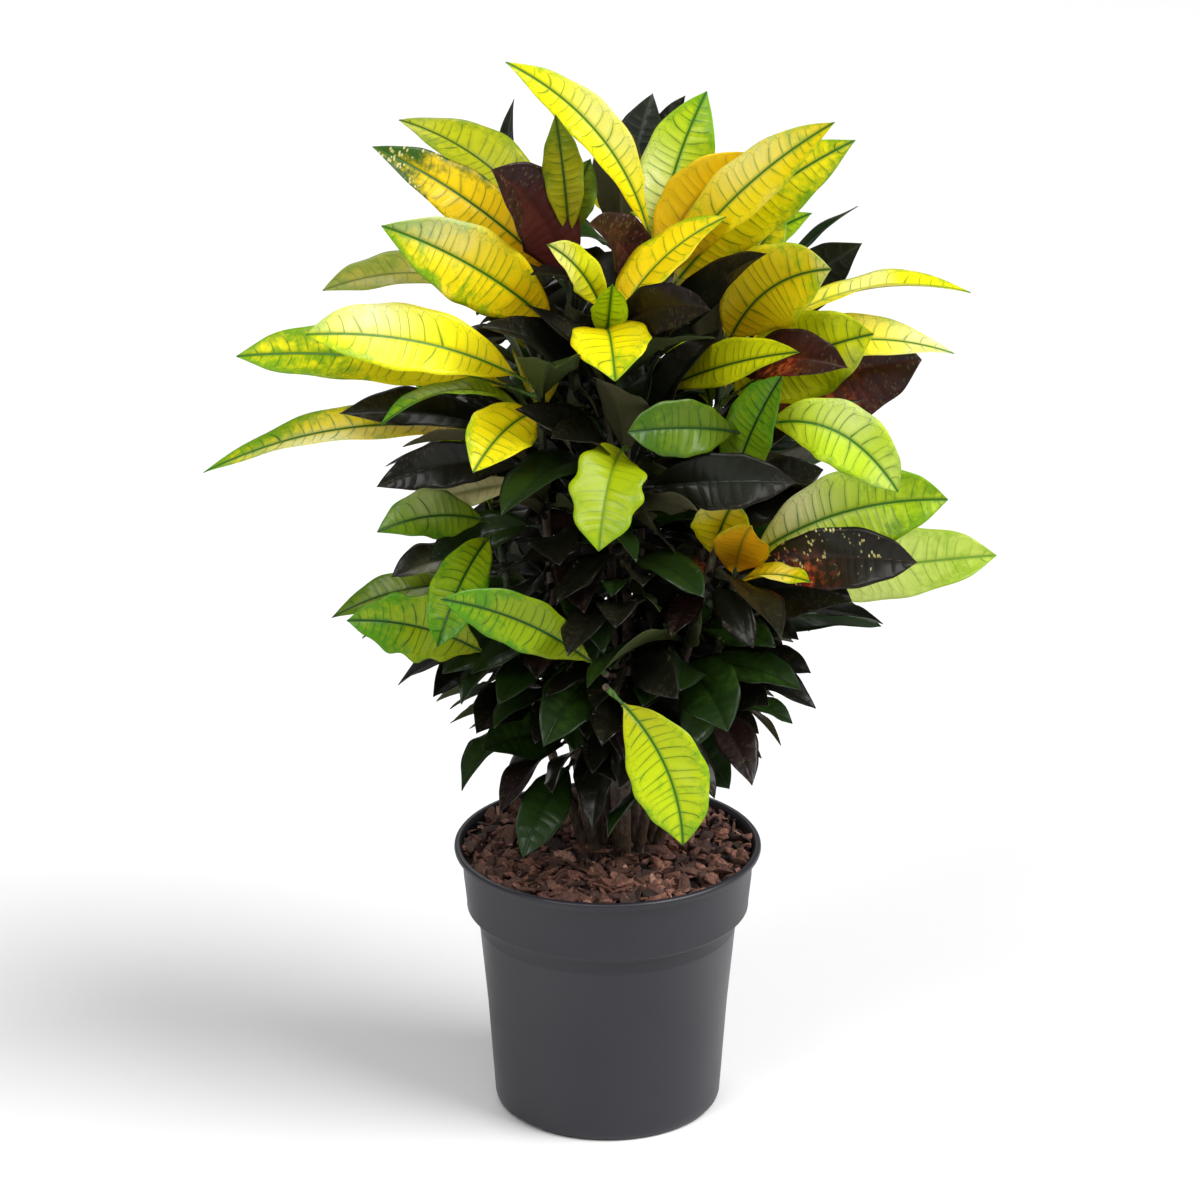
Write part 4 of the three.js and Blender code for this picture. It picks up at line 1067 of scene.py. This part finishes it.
def make_bark(material):
    random = np.random.default_rng(CHIP_SEED)
    piece = Piece("bark_chips", "bark_mulch", "bark", [material])
    ring = [(math.cos(a), math.sin(a)) for a in ring_angles(MULCH_SIDES)]
    bottom = SOIL_TOP + 0.4
    edge = inner_radius(MULCH_TOP) - 0.8
    rows = [(inner_radius(bottom) - 0.6, bottom), (edge, MULCH_TOP - 3), (60, MULCH_TOP - 1.5)]
    points = [(r * x, r * y, z) for r, z in rows for x, y in ring]
    points += [(0, 0, bottom), (0, 0, MULCH_TOP)]
    piece.add(points, turned_faces(len(rows), MULCH_SIDES), leaf_base=UNDER_CHIPS_SHADE)
    shapes, faces = chip_shapes(random)
    for number in range(CHIP_COUNT):
        size = CHIP_SIZE[0] + (CHIP_SIZE[1] - CHIP_SIZE[0]) * random.uniform(0, 1) ** 2.2
        scale = size * np.array([random.uniform(low, high) for low, high in CHIP_SHAPE])
        share, a = math.sqrt(random.uniform(0, 1)), random.uniform(0, 2 * math.pi)
        spin, tilt, roll = random.uniform(0, 2 * math.pi), random.normal(0, 0.5), random.normal(0, 0.7)
        turn = rotation(2, spin) @ rotation(1, tilt) @ rotation(0, roll)
        z = MULCH_TOP - 0.5 + 2 * (1 - share**2) + 3.2 * share**6 + random.uniform(-4.0, 3.0)
        r = (inner_radius(z) - size * 0.35) * share
        points = (shapes[number % CHIP_KINDS] * scale) @ turn.T + (r * math.cos(a), r * math.sin(a), z)
        radii, wall = np.hypot(points[:, 0], points[:, 1]), inner_radius(z) - 0.5
        points[:, :2] *= np.minimum(1, wall / radii)[:, None]
        colour = BARK_COLOURS[random.choice(len(BARK_COLOURS), p=BARK_SHARES)] * random.uniform(0.4, 1.3)
        piece.add(points, [(faces, False)], leaf_base=(*colour, 1))
    piece.finish()


def rotation(axis, angle):
    c, s = math.cos(angle), math.sin(angle)
    i, j = [(1, 2), (2, 0), (0, 1)][axis]
    turn = np.eye(3)
    turn[i, i], turn[i, j], turn[j, i], turn[j, j] = c, -s, s, c
    return turn


# The plant

WOOD = np.array((0.108, 0.07, 0.047))
GREEN_WOOD = np.array((0.03, 0.052, 0.012))
TWIG_GREEN = 0.2


def make_foliage(leaf_skin, wood):
    leaves = all_leaves()
    leaves += inner_leaves(leaves)
    lines = {}
    for stem in STEMS:
        name, _, top, _, cut = stem
        for kind, low, high in (("stem_", STEM_FOOT, cut), ("shoot_", cut + SHOOT_GAP, top[2])):
            z = np.linspace(low, high, max(8, int((high - low) / 3)))
            young = np.clip((z - cut + 60) / 90, 0, 1)[:, None]
            lines[kind + name] = ([stem_point(stem, h) for h in z], [stem_radius(stem, h) for h in z], young)
    for twig in TWIGS:
        start, end = twig_ends(twig)
        step = np.linspace(0, 1, 16)[:, None]
        mother = stem_radius(STEM_NAMED[twig[1]], start[2])
        start = start + unit(end - start) * (mother + 0.6)
        radii = np.linspace(TWIG_RADIUS, TWIG_RADIUS * 0.8, len(step))
        lines[twig[0]] = (start + (end - start) * step, radii, step * 0 + TWIG_GREEN)
    for name, (line, radii, young) in lines.items():
        slot = "dark_foliage" if name.startswith("stem_") else "bright_foliage"
        piece = Piece(name + "_foliage", name, slot, [leaf_skin, wood])
        own = [leaf for leaf in leaves if leaf["node"] == name]
        colour = WOOD * (1 - young) + GREEN_WOOD * young
        add_wood(piece, line, radii, [leaf["foot"][2] for leaf in own], colour)
        for leaf in own:
            kind = (leaf["seed"] >= STEM_SEEDS) + (leaf["seed"] >= INNER_SEEDS)
            add_blade(piece, leaf, *BLADES[kind])
            add_petiole(piece, leaf)
        piece.finish()


# Stage

# Name, direction, strength and angle of each wide distant light
SUNS = [("key", (0.62, -0.26, 0.74), 3.8, 38), ("front", (0.14, -0.66, 0.74), 0.35, 40)]

# Name, place, size and watts of each soft lamp
LAMPS = [
    ("back", (-0.8, 2.6, 3.0), 2.4, 36),
    ("left", (-1.7, -1.9, 1.9), 0.9, 20),
    ("top", (-0.7, -1.7, 2.9), 0.9, 22),
]
AIMED_AT = (0, 0, 0.5)
WORLD_LIGHT = 0.22


def add_light(name, kind, settings, place, direction):
    lamp = bpy.data.lights.new(name, kind)
    for key, value in settings.items():
        setattr(lamp, key, value)
    made = placed(name, lamp)
    made.location = place
    made.rotation_euler = Vector(direction).to_track_quat("Z", "Y").to_euler()


def make_stage():
    mesh = bpy.data.meshes.new("floor")
    mesh.from_pydata([(-9, -9, 0), (9, -9, 0), (9, 9, 0), (-9, 9, 0)], [], [(0, 1, 2, 3)])
    mesh.materials.append(floor_material())
    placed("floor", mesh)
    world = bpy.data.worlds.new("studio")
    world.use_nodes = True
    background = world.node_tree.nodes["Background"]
    background.inputs["Color"].default_value = (1.0, 1.0, 1.0, 1)
    background.inputs["Strength"].default_value = WORLD_LIGHT
    bpy.context.scene.world = world
    for name, direction, energy, angle in SUNS:
        add_light(name, "SUN", {"energy": energy, "angle": math.radians(angle)}, (0, 0, 0), direction)
    for name, place, size, watts in LAMPS:
        settings = {"shape": "DISK", "size": size, "energy": watts}
        add_light(name, "AREA", settings, place, Vector(place) - Vector(AIMED_AT))


CAMERA_PLACE = (-6, -3500, 1773)
CAMERA_PITCH = 0.3689
FOCAL_PIXELS = 4892
PHOTO_PIXELS = 1200
SENSOR = 36


def make_camera():
    lens = bpy.data.cameras.new("camera")
    lens.sensor_width = SENSOR
    lens.lens = FOCAL_PIXELS / PHOTO_PIXELS * SENSOR
    lens.clip_end = 50
    camera = placed("camera", lens)
    camera.location = [v * MM for v in CAMERA_PLACE]
    camera.rotation_euler = (math.pi / 2 - CAMERA_PITCH, 0, 0)
    bpy.context.scene.camera = camera


make_camera()
make_stage()
make_pot(pot_material())
make_bark(bark_material())
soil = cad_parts["potting_soil"]
soil.data.materials.clear()
soil.data.materials.append(soil_material())
make_foliage(leaf_material(), wood_material())
bpy.context.scene.view_settings.view_transform = "Standard"
